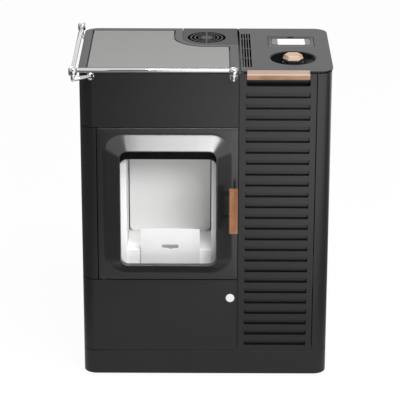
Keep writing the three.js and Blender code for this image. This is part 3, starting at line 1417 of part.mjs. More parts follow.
// Mains socket and rocker switch share one moulded insert in the rear panel.
function makePowerInlet() {
  const outside = bodyDepth;
  const inside = outside - sheet - socketDepth;
  const flange = socketFlange;
  const border = socketBorder;
  let insert = box(socketLeft, socketRight, inside, outside + 1, socketBottom, socketTop);
  insert = insert.add(box(socketLeft - flange, socketRight + flange, outside + clearance, outside + flange / 2,
    socketBottom - flange, socketTop + flange));
  const rockerRight = socketRight - border;
  const rockerLeft = rockerRight - rockerWidth;
  const cupRight = rockerLeft - border;
  // The connector's cup has its two upper corners cut off.
  const cup = polygon([
    [socketLeft + border, socketBottom + border],
    [cupRight, socketBottom + border],
    [cupRight, socketTop - 2 * border],
    [cupRight - border, socketTop - border],
    [socketLeft + 2 * border, socketTop - border],
    [socketLeft + border, socketTop - 2 * border],
  ]);
  const cupFloor = inside + border;
  insert = insert.subtract(front(cup, cupFloor, FAR));
  const middleZ = (socketBottom + socketTop) / 2;
  const bladeHalf = { x: 1.2, z: 3 };
  for (const [share, rise] of [[0.25, -2], [0.5, 3], [0.75, -2]]) {
    const x = socketLeft + border + share * (cupRight - socketLeft - border);
    const z = middleZ + rise;
    insert = insert.add(box(x - bladeHalf.x, x + bladeHalf.x, cupFloor - 1, outside - border,
      z - bladeHalf.z, z + bladeHalf.z));
  }
  const well = { x0: rockerLeft - clearance, x1: rockerRight + clearance, margin: 3 };
  insert = insert.subtract(box(well.x0, well.x1, outside - rockerDepth, FAR, socketBottom + well.margin,
    socketTop - well.margin));
  add("power_inlet", insert, "blackPlastic");
  const half = (socketTop - socketBottom) / 2 - 1.5 * well.margin;
  const root = half / 2;
  const rootY = outside - rockerDepth + 4;
  const rocker = side(
    polygon([
      [rootY, middleZ - root],
      [outside + 1, middleZ - half],
      [outside + rockerTilt, middleZ - half + 1],
      [outside, middleZ],
      [outside + rockerTilt, middleZ + half - 1],
      [outside + 1, middleZ + half],
      [rootY, middleZ + root],
    ]),
    rockerLeft,
    rockerRight,
  );
  add("main_switch", rocker, "blackPlastic");
}

makePlinth();
makeFeet();
makeSides();
makeRearPanel();
makePartition();
makeUpperFrontPanel();
makeTopFrame();
makeHobPlate();
makeFlueCover();
makeRail();
makeDoorBezel();
makeDoorGlass();
makeDoorFrame();
makeDoorGasket();
makeDoorHandle();
makeDoorHingePins();
makeLowerDoor();
makeAshDrawer();
makeFireboxCasing();
makeLiners();
makePotSurround();
makeBurnPot();
makeHopper();
makeAuger();
makeLouvredPanel();
makeLid();
makeDisplay();
makeKnob();
makeLidHinge();
makeSmokePath();
makeAirPipe();
makeBlower();
makeControlBox();
makePowerInlet();

// The origin is on the floor under the middle of the footprint.
const footprint = new THREE.Box3().setFromObject(group).getCenter(new THREE.Vector3());
group.position.set(-footprint.x, -footprint.y, 0);

export default group;
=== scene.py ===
import json
from math import cos, pi, radians, sin

import bmesh
import bpy
from mathutils import Matrix, Vector


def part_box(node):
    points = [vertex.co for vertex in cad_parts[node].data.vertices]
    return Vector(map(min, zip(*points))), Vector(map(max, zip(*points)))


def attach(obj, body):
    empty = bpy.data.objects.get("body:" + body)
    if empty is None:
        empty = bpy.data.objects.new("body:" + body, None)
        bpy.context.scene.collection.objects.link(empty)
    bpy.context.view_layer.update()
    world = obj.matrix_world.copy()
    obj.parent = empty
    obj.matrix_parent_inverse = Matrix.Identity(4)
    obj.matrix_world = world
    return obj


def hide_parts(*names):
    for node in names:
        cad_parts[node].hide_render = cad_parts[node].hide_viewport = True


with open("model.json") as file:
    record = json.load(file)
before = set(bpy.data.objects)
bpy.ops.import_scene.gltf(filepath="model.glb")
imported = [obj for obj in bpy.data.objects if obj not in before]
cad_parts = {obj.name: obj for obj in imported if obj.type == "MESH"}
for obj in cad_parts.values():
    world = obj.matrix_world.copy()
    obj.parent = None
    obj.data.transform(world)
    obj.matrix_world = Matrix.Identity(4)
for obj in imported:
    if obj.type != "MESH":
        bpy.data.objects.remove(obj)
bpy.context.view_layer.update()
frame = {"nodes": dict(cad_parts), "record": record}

# ---------------------------------------------------------------- studio
# A white product studio: pale floor, white surround, and two wide soft lamps in front on the right, one
# high up and one lower, which gloss doesn't mirror. The camera stands where the photograph was taken.
scene = bpy.context.scene
scene.view_settings.view_transform = "Standard"

camera_place = (0.0186, -5.405, 2.506)
camera_turn = (69.294, -0.102, 0.279)  # degrees, solved from the photograph's straight edges
camera_data = bpy.data.cameras.new("camera")
camera_data.sensor_width = 36
camera_data.lens = 184.0
camera_data.clip_end = 50
camera = bpy.data.objects.new("camera", camera_data)
camera.location = camera_place
camera.rotation_euler = [radians(angle) for angle in camera_turn]
scene.collection.objects.link(camera)
scene.camera = camera


class Wire:
    """A shader socket. Python operators on it add Math nodes."""

    def __init__(self, finish, socket):
        self.finish = finish
        self.socket = socket

    def maths(self, operation, first, second, clamp=False):
        settings = {"operation": operation, "use_clamp": clamp}
        return self.finish.node("ShaderNodeMath", settings, {0: first, 1: second})

    def __add__(self, other):
        return self.maths("ADD", self, other)

    def __sub__(self, other):
        return self.maths("SUBTRACT", self, other)

    def __rsub__(self, other):
        return self.maths("SUBTRACT", other, self)

    def __mul__(self, other):
        return self.maths("MULTIPLY", self, other)

    def __pow__(self, other):
        return self.maths("POWER", self, other)

    def __abs__(self):
        return self.maths("ABSOLUTE", self, 0.0)

    def most(self, other):
        return self.maths("MAXIMUM", self, other)

    def rise(self, start, end):
        """0 at start, 1 at end, held between them."""
        return self.maths("MULTIPLY", self - start, 1 / (end - start), clamp=True)


class Finish:
    """A procedural surface, built round one shader node."""

    def __init__(self, name, **sockets):
        self.material = bpy.data.materials.new(name)
        self.material.use_nodes = True
        self.tree = self.material.node_tree
        self.shader = self.tree.nodes["Principled BSDF"]
        self.set(**sockets)

    def node(self, kind, settings=None, values=None, output=0):
        made = self.tree.nodes.new(kind)
        for name, value in (settings or {}).items():
            setattr(made, name, value)
        for name, value in (values or {}).items():
            self.feed(made.inputs[name], value)
        return Wire(self, made.outputs[output])

    def feed(self, socket, value):
        if isinstance(value, Wire):
            self.tree.links.new(value.socket, socket)
        elif isinstance(value, tuple) and socket.type == "RGBA" and len(value) == 3:
            socket.default_value = (*value, 1)
        else:
            socket.default_value = value

    def set(self, **sockets):
        """Sockets of the shader by name, with _ for a space."""
        for name, value in sockets.items():
            self.feed(self.shader.inputs[name.replace("_", " ")], value)
        return self

    def here(self):
        return self.node("ShaderNodeTexCoord", output="Object")

    def axis(self, letter):
        return self.node("ShaderNodeSeparateXYZ", values={0: self.here()}, output=letter)

    def noise(self, per_metre, detail=2, stretch=(1, 1, 1), roughness=0.5):
        place = self.node("ShaderNodeMapping", values={"Vector": self.here(), "Scale": stretch})
        values = {"Vector": place, "Scale": per_metre, "Detail": detail, "Roughness": roughness}
        return self.node("ShaderNodeTexNoise", values=values)

    def blend(self, mask, low, high):
        values = {"Factor": mask, 6: low, 7: high}
        return self.node("ShaderNodeMix", {"data_type": "RGBA"}, values, output=2)

    def relief(self, height, depth):
        """Height runs from 0 to 1 and depth is in metres."""
        values = {"Strength": 1.0, "Distance": depth, "Height": height}
        return self.set(Normal=self.node("ShaderNodeBump", values=values))


def white_world():
    """White to the camera, in gloss and through glass; a grey fill for everything else."""
    fill = 0.4
    world = bpy.data.worlds.new("surround")
    scene.world = world
    world.use_nodes = True
    tree = world.node_tree
    seen = tree.nodes.new("ShaderNodeLightPath")
    strength = fill
    for ray in ("Is Camera Ray", "Is Glossy Ray", "Is Transmission Ray"):
        most = tree.nodes.new("ShaderNodeMath")
        most.operation = "MAXIMUM"
        tree.links.new(seen.outputs[ray], most.inputs[0])
        if strength is fill:
            most.inputs[1].default_value = fill
        else:
            tree.links.new(strength, most.inputs[1])
        strength = most.outputs[0]
    background = tree.nodes["Background"]
    background.inputs["Color"].default_value = (1, 1, 1, 1)
    tree.links.new(strength, background.inputs["Strength"])


def flat_sheet(name, corners):
    mesh = bpy.data.meshes.new(name)
    mesh.from_pydata(corners, [], [(0, 1, 2, 3)])
    sheet = bpy.data.objects.new(name, mesh)
    scene.collection.objects.link(sheet)
    return sheet


def white_floor():
    """A wide pale floor. To the camera it is mostly white, so only the shadow of the stove shows;
    in gloss it is grey in front of the stove and darker beside it, and further out nearly black on the
    left and bright on the right."""
    reach = 14
    whiteness = 0.96
    front_glow = 0.5
    beside_loss = 0.3
    beside_edges = (0.42, 0.8)
    far_edges = (0.6, 1.9)
    far_loss, far_gain = 0.4, 1.4
    far_sides = (-0.4, 0.3)
    corners = [(x * reach, y * reach, 0) for x, y in ((-1, -1), (1, -1), (1, 1), (-1, 1))]
    floor = flat_sheet("floor", corners)
    pale = Finish("pale_floor", Base_Color=(0.8, 0.8, 0.8), Roughness=0.9)
    seen = {ray: pale.node("ShaderNodeLightPath", output=ray) for ray in
            ("Is Camera Ray", "Is Glossy Ray", "Is Transmission Ray")}
    white = pale.node("ShaderNodeEmission", values={"Color": (1, 1, 1), "Strength": 1.0})
    x, y = pale.axis("X"), pale.axis("Y")
    out = abs(y).rise(*far_edges)
    beside = abs(x).rise(*beside_edges) * (1 - out)
    glow = front_glow - beside * beside_loss + out * (x.rise(*far_sides) * far_gain - far_loss)
    dim = pale.node("ShaderNodeEmission", values={"Color": (1, 1, 1), "Strength": glow})
    body = Wire(pale, pale.shader.outputs[0])
    shown = seen["Is Camera Ray"].most(seen["Is Transmission Ray"]) * whiteness
    look = pale.node("ShaderNodeMixShader", values={0: shown, 1: body, 2: white})
    look = pale.node("ShaderNodeMixShader", values={0: seen["Is Glossy Ray"], 1: look, 2: dim})
    pale.tree.links.new(look.socket, pale.tree.nodes["Material Output"].inputs["Surface"])
    floor.data.materials.append(pale.material)


def dark_flag():
    """A black cloth behind the camera. Only gloss sees it: it draws the dark line along the chrome."""
    half, low, high, back = 2.4, 0.9, 4.6, -6.2
    corners = [(-half, back, low), (half, back, low), (half, back, high), (-half, back, high)]
    flag = flat_sheet("flag", corners)
    cloth = Finish("black_cloth", Roughness=1.0, Specular_IOR_Level=0.0)
    cloth.set(Base_Color=cloth.blend(cloth.noise(3), (0.01, 0.01, 0.01), (0.02, 0.02, 0.02)))
    flag.data.materials.append(cloth.material)
    for ray in ("camera", "diffuse", "transmission", "shadow"):
        setattr(flag, "visible_" + ray, False)


def soft_lamp(name, place, aim, width, height, watts, mirrored=True):
    """A rectangular lamp at place that faces aim; gloss shows it only where it is mirrored."""
    data = bpy.data.lights.new(name, "AREA")
    data.shape = "RECTANGLE"
    data.size = width
    data.size_y = height
    data.energy = watts
    lamp = bpy.data.objects.new(name, data)
    lamp.location = place
    lamp.rotation_euler = (Vector(aim) - Vector(place)).to_track_quat("-Z", "Y").to_euler()
    lamp.visible_glossy = mirrored
    scene.collection.objects.link(lamp)


white_world()
white_floor()
dark_flag()
soft_lamp("lamp_above", (0.95, -1.4, 3.3), aim=(0.95, -0.19, 0.7), width=2.5, height=1.1, watts=132)
soft_lamp("lamp_front", (1.05, -2.8, 2.3), aim=(-0.09, -0.19, 0.5), width=1.5, height=1.0, watts=82,
          mirrored=False)

# ---------------------------------------------------------------- casing panels
# The plinth, the side, rear and front panels: folded 2 mm steel with a satin black powder coat. Their
# upright corners are true arcs, and each edge is rounded a little, as a coated edge is.
bodies = frame["record"]["behaviour"]["bodies"]
body_of = {node: body for body, nodes in bodies.items() for node in nodes}
casing_low, casing_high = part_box("base_plinth")
casing_middle = (casing_low + casing_high) / 2
casing_half = (casing_high - casing_low) / 2
casing_radius = 0.036
weld_gap = 2e-6  # vertices closer than this are one vertex
flat_angle = radians(0.5)  # faces that turn less than this are one face


def new_piece(name, mesh, finish):
    mesh.polygons.foreach_set("use_smooth", [True] * len(mesh.polygons))
    mesh.materials.clear()
    mesh.materials.append(finish.material)
    piece = bpy.data.objects.new(name, mesh)
    scene.collection.objects.link(piece)
    return piece


def stands_for(piece, node):
    """The piece takes the place of one CAD node, on its body."""
    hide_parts(node)
    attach(piece, body_of[node])
    return piece


def round_edges(piece, width, steps=2, sharp=30):
    bevel = piece.modifiers.new("rounded_edges", "BEVEL")
    bevel.width = width
    bevel.segments = steps
    bevel.limit_method = "ANGLE"
    bevel.angle_limit = radians(sharp)
    bevel.use_clamp_overlap = True
    level = piece.modifiers.new("level_faces", "WEIGHTED_NORMAL")
    level.weight = 100
    level.keep_sharp = True
    return piece


def shell_of(node):
    """The CAD node's solid as one welded shell with whole faces."""
    shell = bmesh.new()
    shell.from_mesh(frame["nodes"][node].data)
    bmesh.ops.remove_doubles(shell, verts=shell.verts, dist=weld_gap)
    bmesh.ops.dissolve_limit(shell, angle_limit=flat_angle, verts=shell.verts, edges=shell.edges)
    return shell


def corner_of(point):
    """Offset from the axis of the casing corner that the point lies in, or None."""
    slack = 1e-5
    away = point - casing_middle
    inner = casing_half - Vector((casing_radius, casing_radius, 0))
    reach = Vector((abs(away.x) - inner.x, abs(away.y) - inner.y))
    return reach if min(reach) > -slack and reach.length > casing_radius / 2 else None


def bend_corners(shell, cuts=4):
    """Each corner comes as three flat facets; cutting and moving them out makes it a true arc."""
    facet = radians(30)
    flat, same_radius, same_turn = 1e-6, 3e-5, 0.01
    chords = []
    for edge in shell.edges:
        ends = [corner_of(vert.co) for vert in edge.verts]
        if None in ends or abs(edge.verts[0].co.z - edge.verts[1].co.z) > flat:
            continue
        turn = abs(ends[0].angle_signed(ends[1]))
        if abs(ends[0].length - ends[1].length) < same_radius and abs(turn - facet) < same_turn:
            chords.append(edge)
    made = bmesh.ops.subdivide_edges(shell, edges=chords, cuts=cuts)
    for vert in made["geom_inner"]:
        if not isinstance(vert, bmesh.types.BMVert):
            continue
        reach = corner_of(vert.co)
        if reach is None:
            continue
        angle = Vector((1, 0)).angle(reach)
        off_middle = angle - facet * (int(angle / facet) + 0.5)
        grown = reach * (cos(off_middle) / cos(facet / 2))
        for i in range(2):
            side = 1 if vert.co[i] > casing_middle[i] else -1
            vert.co[i] = casing_middle[i] + side * (casing_half[i] - casing_radius + grown[i])


def mesh_from(shell, name):
    mesh = bpy.data.meshes.new(name)
    shell.to_mesh(mesh)
    shell.free()
    return mesh


def dress(node, finish, width=0.0006, steps=2, sharp=30, corners=False):
    """The node's own shape with rounded edges and its finish."""
    shell = shell_of(node)
    if corners:
        bend_corners(shell)
    piece = new_piece(node + "_made", mesh_from(shell, node + "_made"), finish)
    round_edges(piece, width, steps, sharp)
    return stands_for(piece, node)


def powder_coat(name, colour, roughness, gloss=0.5):
    """Fine orange peel, slightly cloudy in tone and gloss."""
    coat = Finish(name, Specular_IOR_Level=gloss)
    cloudy = coat.noise(9, detail=3)
    peel = coat.noise(900, detail=1)
    lighter = tuple(c * 1.3 for c in colour)
    cloud_share, peel_share, peel_depth = 0.05, 0.02, 0.000012
    middle = (cloud_share + peel_share) / 2
    coat.set(Base_Color=coat.blend(cloudy, colour, lighter))
    coat.set(Roughness=cloudy * cloud_share + peel * peel_share + (roughness - middle))
    return coat.relief(peel, peel_depth)


black_coat = powder_coat("satin_black_coat", (0.0068, 0.0068, 0.007), 0.25)
for node in ("base_plinth", "left_side_panel", "right_side_panel", "upper_front_panel"):
    dress(node, black_coat, corners=True)
dress("louvred_panel", black_coat, 0.0004)
dress("rear_panel", black_coat)

# ---------------------------------------------------------------- rear panel screws
# Pan-head screws of blackened steel hold the rear panel along its four edges. Each is a turned part
# with a hexagon socket, driven from behind.
screw_steel = Finish("blackened_screw", Metallic=0.9)
rub = screw_steel.noise(700, detail=3)
screw_steel.set(Base_Color=screw_steel.blend(rub, (0.05, 0.05, 0.052), (0.12, 0.12, 0.12)))
screw_steel.set(Roughness=rub * 0.2 + 0.3)
rear_low, rear_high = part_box("rear_panel")
rear_tongue = 0.008  # the panel's box is this much higher than its screwed part
screw_radius = 0.0045
screw_height = 0.0024
screw_inset = 0.009


def turn_profile(shell, profile, place, steps=32):
    """Rings round the z axis of place: (radius, height) points, closed at radius 0. A radius may be
    a function of the angle."""
    rings = []
    for radius, height in profile:
        if radius == 0:
            rings.append([shell.verts.new(place @ Vector((0, 0, height)))])
            continue
        ring = []
        for step in range(steps):
            angle = 2 * pi * step / steps
            r = radius(angle) if callable(radius) else radius
            ring.append(shell.verts.new(place @ Vector((r * cos(angle), r * sin(angle), height))))
        rings.append(ring)
    for here, there in zip(rings, rings[1:]):
        for step in range(steps):
            after = (step + 1) % steps
            corners = [here[step % len(here)], here[after % len(here)]]
            corners += [there[after % len(there)], there[step % len(there)]]
            shell.faces.new(list(dict.fromkeys(corners)))


def screw_head():
    socket_share = 0.45
    rim_share = 0.35

    def hexagon(angle):
        return screw_radius * socket_share / cos((angle % (pi / 3)) - pi / 6)

    dome = [(screw_radius * cos(a), screw_height * (rim_share + (1 - rim_share) * sin(a)))
            for a in (0, 0.35, 0.7, 1.05)]
    floor = screw_height * rim_share
    profile = [(0, 0), (screw_radius, 0), *dome, (hexagon, screw_height), (hexagon, floor), (0, floor)]
    shell = bmesh.new()
    turn_profile(shell, profile, Matrix.Rotation(radians(-90), 4, "X"), steps=24)
    bmesh.ops.recalc_face_normals(shell, faces=shell.faces)
    return mesh_from(shell, "screw_head")


def nodes_from(name, sockets, build):
    """A geometry tree with named inputs; build(tree, inputs) returns the geometry socket."""
    tree = bpy.data.node_groups.new(name, "GeometryNodeTree")
    tree.interface.new_socket("Geometry", in_out="OUTPUT", socket_type="NodeSocketGeometry")
    for label, kind in sockets.items():
        tree.interface.new_socket(label, in_out="INPUT", socket_type="NodeSocket" + kind)
    start = tree.nodes.new("NodeGroupInput")
    end = tree.nodes.new("NodeGroupOutput")
    tree.links.new(build(tree, start.outputs), end.inputs[0])
    return tree


def run_tree(name, tree, values):
    """The tree's result as a plain mesh."""
    host = bpy.data.objects.new(name + "_host", bpy.data.meshes.new(name + "_host"))
    scene.collection.objects.link(host)
    modifier = host.modifiers.new(name, "NODES")
    modifier.node_group = tree
    for item in tree.interface.items_tree:
        if item.in_out == "INPUT":
            modifier[item.identifier] = values[item.name]
    evaluated = host.evaluated_get(bpy.context.evaluated_depsgraph_get())
    mesh = bpy.data.meshes.new_from_object(evaluated)
    host.modifiers.remove(modifier)
    bpy.data.objects.remove(host)
    return mesh


def screw_frame_tree(tree, inputs):
    """Screws on the points of a grid, kept only along its edges."""
    def add(kind, **settings):
        made = tree.nodes.new("GeometryNode" + kind)
        for key, value in settings.items():
            setattr(made, key, value)
        return made

    grid = add("MeshGrid")
    counts = {"Size X": "Width", "Size Y": "Height", "Vertices X": "Across", "Vertices Y": "Up"}
    for socket, label in counts.items():
        tree.links.new(inputs[label], grid.inputs[socket])
    rim = tree.nodes.new("GeometryNodeInputMeshVertexNeighbors")
    inner = tree.nodes.new("FunctionNodeCompare")
    inner.data_type = "INT"
    inner.operation = "GREATER_EQUAL"
    tree.links.new(rim.outputs["Vertex Count"], inner.inputs[2])
    inner.inputs[3].default_value = 4
    drop = add("DeleteGeometry", domain="POINT")
    tree.links.new(grid.outputs["Mesh"], drop.inputs["Geometry"])
    tree.links.new(inner.outputs[0], drop.inputs["Selection"])
    stand = add("Transform")
    tree.links.new(drop.outputs[0], stand.inputs["Geometry"])
    stand.inputs["Rotation"].default_value = (radians(90), 0, 0)
    tree.links.new(inputs["Middle"], stand.inputs["Translation"])
    head = add("ObjectInfo")
    tree.links.new(inputs["Head"], head.inputs["Object"])
    copies = add("InstanceOnPoints")
    tree.links.new(stand.outputs[0], copies.inputs["Points"])
    tree.links.new(head.outputs["Geometry"], copies.inputs["Instance"])
    real = add("RealizeInstances")
    tree.links.new(copies.outputs[0], real.inputs[0])
    coat = add("SetMaterial")
    tree.links.new(real.outputs[0], coat.inputs["Geometry"])
    tree.links.new(inputs["Finish"], coat.inputs["Material"])
    return coat.outputs[0]


def make_rear_screws():
    head = bpy.data.objects.new("screw_head", screw_head())
    scene.collection.objects.link(head)
    sockets = {"Width": "Float", "Height": "Float", "Across": "Int", "Up": "Int", "Middle": "Vector",
               "Head": "Object", "Finish": "Material"}
    tree = nodes_from("screws_along_the_edges", sockets, screw_frame_tree)
    middle = (rear_low + rear_high) / 2
    values = {
        "Width": rear_high.x - rear_low.x - 2 * screw_inset,
        "Height": rear_high.z - rear_low.z - rear_tongue - 2 * screw_inset,
        "Across": 4,
        "Up": 5,
        "Middle": (middle.x, rear_high.y, middle.z - rear_tongue / 2),
        "Head": head,
        "Finish": screw_steel.material,
    }
    mesh = run_tree("rear_panel_screws", tree, values)
    bpy.data.objects.remove(head)
    piece = new_piece("rear_panel_screws", mesh, screw_steel)
    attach(piece, "casing")


make_rear_screws()

# ---------------------------------------------------------------- feet and partition
# Four feet of moulded black rubber on a steel stem turn in the plinth to level the stove. The wall
# between the two bays is coated sheet steel.
rubber = Finish("black_rubber", Roughness=0.8)
dust = rubber.noise(60, detail=4)
rubber.set(Base_Color=rubber.blend(dust, (0.012, 0.012, 0.012), (0.025, 0.024, 0.023)))
rubber.relief(rubber.noise(900), 0.00008)
for corner in ("front_left", "front_right", "rear_left", "rear_right"):
    dress("levelling_foot_" + corner, rubber, 0.001, 3)
dress("partition_wall", black_coat, 0.0004)

# ---------------------------------------------------------------- top plates and hob
# The left bay's top frame and the flue cover with its ring grille are coated steel; the hob plate
# lying in the frame is ground iron, light grey and nearly flat.
top_coat = powder_coat("satin_top_coat", (0.012, 0.012, 0.0122), 0.36, 0.42)
grille_coat = powder_coat("satin_grille_coat", (0.0065, 0.0065, 0.0067), 0.38, 0.22)
dress("top_frame", top_coat, 0.0007, corners=True)
cover_low, cover_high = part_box("flue_cover")
grille_radii = (0.0535, 0.0423, 0.0311, 0.0212)
grille_slots = (0.0072, 0.0072, 0.0072, 0.0034)
grille_rib = 0.004
cover_radius = 0.0667


def arc(centre, radius, start, end, steps):
    """Points of an arc in plan, angles in degrees."""
    angles = [radians(start + (end - start) * i / steps) for i in range(steps + 1)]
    return [(centre[0] + radius * cos(a), centre[1] + radius * sin(a)) for a in angles]


def pierced_plate(name, outlines, low, high):
    """A flat plate from closed outlines in plan: the first is the edge, the others are holes."""
    drawn = bpy.data.curves.new(name, "CURVE")
    drawn.dimensions = "2D"
    drawn.fill_mode = "BOTH"
    drawn.extrude = (high - low) / 2
    for points in outlines:
        line = drawn.splines.new("POLY")
        line.points.add(len(points) - 1)
        line.points.foreach_set("co", [c for x, y in points for c in (x, y, 0, 1)])
        line.use_cyclic_u = True
    host = bpy.data.objects.new(name, drawn)
    scene.collection.objects.link(host)
    mesh = bpy.data.meshes.new_from_object(host.evaluated_get(bpy.context.evaluated_depsgraph_get()))
    bpy.data.objects.remove(host)
    shell = bmesh.new()
    shell.from_mesh(mesh)
    bmesh.ops.translate(shell, verts=shell.verts, vec=(0, 0, (low + high) / 2))
    bmesh.ops.remove_doubles(shell, verts=shell.verts, dist=1e-6)
    bmesh.ops.dissolve_limit(shell, angle_limit=flat_angle, verts=shell.verts, edges=shell.edges)
    bmesh.ops.recalc_face_normals(shell, faces=shell.faces)
    return mesh_from(shell, name)


def make_flue_cover():
    centre = (cover_low.x + cover_radius, cover_low.y + cover_radius)
    edge = [(cover_high.x, cover_low.y), (cover_high.x, cover_high.y), (cover_low.x, cover_high.y)]
    outlines = [edge + arc(centre, cover_radius, 180, 270, 24)]
    for outer, slot in zip(grille_radii, grille_slots):
        inner = outer - slot
        for middle in (0, 180):
            out_gap = 90 - grille_rib / 2 / outer * 180 / pi
            in_gap = 90 - grille_rib / 2 / inner * 180 / pi
            half_ring = arc(centre, outer, middle - out_gap, middle + out_gap, 30)
            outlines.append(half_ring + arc(centre, inner, middle + in_gap, middle - in_gap, 30))
    mesh = pierced_plate("flue_cover_made", outlines, cover_low.z, cover_high.z)
    piece = new_piece("flue_cover_made", mesh, grille_coat)
    round_edges(piece, 0.0004)
    stands_for(piece, "flue_cover")


make_flue_cover()

ground_iron = Finish("ground_iron", Specular_IOR_Level=0.45)
smear = ground_iron.noise(7, detail=4)
lines = ground_iron.noise(260, detail=2, stretch=(0.05, 1, 1))
ground = smear * 0.6 + lines * 0.4
ground_iron.set(
    Base_Color=ground_iron.blend(ground, (0.128, 0.128, 0.123), (0.16, 0.161, 0.154)),
    Roughness=smear * 0.1 + lines * 0.08 + 0.34,
)
ground_iron.relief(lines, 0.00004)
dress("hob_plate", ground_iron, 0.0012, 3)

# ---------------------------------------------------------------- rail
# A chromed towel rail along the front and the left side: two tubes that end in three turned knuckles,
# each on a bent arm that ends in a round rosette on the casing.
chrome = Finish("polished_chrome", Metallic=1.0)
wipe = chrome.noise(30, detail=3)
chrome.set(
    Base_Color=chrome.blend(wipe, (0.6, 0.61, 0.62), (0.68, 0.69, 0.7)),
    Roughness=wipe * 0.06 + 0.03,
)
front_tube_low, front_tube_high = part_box("rail_front_tube")
side_tube_low, side_tube_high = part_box("rail_side_tube")
right_bracket_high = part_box("rail_bracket_right")[1]
rear_bracket_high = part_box("rail_bracket_rear_left")[1]
tube_radius = (front_tube_high.z - front_tube_low.z) / 2
rail_height = (front_tube_high.z + front_tube_low.z) / 2
rail_front = (front_tube_high.y + front_tube_low.y) / 2
rail_side = (side_tube_high.x + side_tube_low.x) / 2
knuckle_radius = 0.0115
knuckle_below = 0.0134
knuckle_above = 0.0061
arm_drop = 0.0257
arm_radius = 0.0055
arm_run = 0.045
rosette_radius = 0.0105
rosette_thick = 0.003
seat_gap = 0.0003
knuckle_edge = 0.0016
rosette_edge = 0.0009
tube_edge = 0.0003
hidden_edge = 0.0001
lap = 0.001  # how far bars of one casting stand in each other


def aimed(start, end):
    """A place with its origin at start and its z axis towards end."""
    start = Vector(start)
    way = Vector(end) - start
    return Matrix.Translation(start) @ way.to_track_quat("Z", "Y").to_matrix().to_4x4(), way.length


def soft_bar(radius, length, edge):
    """Profile of a round bar with its ends rounded by edge. A ring near each end keeps it straight."""
    turns = [radians(90 * i / 4) for i in range(5)]
    quarter = [(edge * (1 - sin(a)), edge * (1 - cos(a))) for a in turns]
    lower = [(radius - back, up) for up, back in quarter]
    upper = [(radius - back, length - up) for up, back in reversed(quarter)]
    straight = [(radius, 2 * edge), (radius, length - 2 * edge)] if length > 5 * edge else []
    return [(0, 0), *lower, *straight, *upper, (0, length)]


def chrome_piece(node, bars):
    """Bars are (start, end, radius, edge); they stand in each other like one casting."""
    shell = bmesh.new()
    for start, end, radius, edge in bars:
        place, length = aimed(start, end)
        turn_profile(shell, soft_bar(radius, length, edge), place)
    bmesh.ops.recalc_face_normals(shell, faces=shell.faces)
    return stands_for(new_piece(node + "_made", mesh_from(shell, node + "_made"), chrome), node)


def bracket(node, x, y, seat, normal):
    """Knuckle over (x, y), an elbow below it, and an arm to the rosette on the casing at seat."""
    arm_height = rail_height - arm_drop
    seat = Vector((*seat, arm_height))
    normal = Vector(normal)
    face = seat + normal * seat_gap

    def at(z):
        return (x, y, z)

    foot = rail_height - knuckle_below
    ball = arm_radius * 0.999  # an edge just under the radius leaves a ball at the elbow
    chrome_piece(node, [
        (at(foot), at(rail_height + knuckle_above), knuckle_radius, knuckle_edge),
        (at(arm_height), at(foot + lap), arm_radius, hidden_edge),
        (at(arm_height - arm_radius), at(arm_height + arm_radius), arm_radius, ball),
        (at(arm_height), face + normal * lap, arm_radius, hidden_edge),
        (face, face + normal * rosette_thick, rosette_radius, rosette_edge),
    ])


def make_rail():
    front_ends = [(x, rail_front, rail_height) for x in (front_tube_low.x, front_tube_high.x)]
    side_ends = [(rail_side, y, rail_height) for y in (side_tube_low.y, side_tube_high.y)]
    chrome_piece("rail_front_tube", [(*front_ends, tube_radius, tube_edge)])
    chrome_piece("rail_side_tube", [(*side_ends, tube_radius, tube_edge)])
    right_x = right_bracket_high.x - knuckle_radius
    rear_y = rear_bracket_high.y - knuckle_radius
    to_front, to_left = (0, -1, 0), (-1, 0, 0)
    left_seat = rail_side + arm_run
    bracket("rail_bracket_front_left", rail_side, rail_front, (left_seat, casing_low.y), to_front)
    bracket("rail_bracket_right", right_x, rail_front, (right_x, casing_low.y), to_front)
    bracket("rail_bracket_rear_left", rail_side, rear_y, (casing_low.x, rear_y - arm_run), to_left)


make_rail()

# ---------------------------------------------------------------- firebox door
# A deep-drawn bezel round the window in the coating of the casing. Its shape is lofted ring by ring:
# flat margin, soft foot, straight slope, round crest, and the return inside down to the glass.
bezel_low, bezel_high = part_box("door_bezel")
glass_low, glass_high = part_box("door_glass")
glass_lap = 0.014
window_low = glass_low + Vector((glass_lap, 0, glass_lap))
window_high = glass_high - Vector((glass_lap, 0, glass_lap))
window_radius = 0.021
bezel_wide = 0.048
bezel_below = 0.0395
bezel_above = 0.0435
bezel_corner = 0.062
bezel_proud = 0.034
bezel_lip = 0.014
bezel_sheet = 0.002
bezel_edge = 0.0014  # rounding of the outer edge
outer_corner = 0.0025
lip_round = 0.0012
lip_inset = 0.0007
door_face = bezel_low.y + bezel_proud
bezel_coat = powder_coat("gloss_bezel_coat", (0.0068, 0.0068, 0.007), 0.26, 0.8)


def rounded_ring(low, high, radius, depth, corner_steps=14, side_steps=6):
    """Points round a rectangle with round corners, at one depth, the same number whatever the size."""
    corners = [
        (high[0] - radius, low[1] + radius, -0.5 * pi),
        (high[0] - radius, high[1] - radius, 0),
        (low[0] + radius, high[1] - radius, 0.5 * pi),
        (low[0] + radius, low[1] + radius, pi),
    ]
    points = []
    for i, (x, z, start) in enumerate(corners):
        for step in range(corner_steps + 1):
            angle = start + 0.5 * pi * step / corner_steps
            points.append(Vector((x + radius * cos(angle), depth, z + radius * sin(angle))))
        after_x, after_z, after_start = corners[(i + 1) % 4]
        turn = (radius * cos(after_start), radius * sin(after_start))
        target = Vector((after_x + turn[0], depth, after_z + turn[1]))
        last = points[-1]
        points += [last.lerp(target, step / side_steps) for step in range(1, side_steps)]
    return points


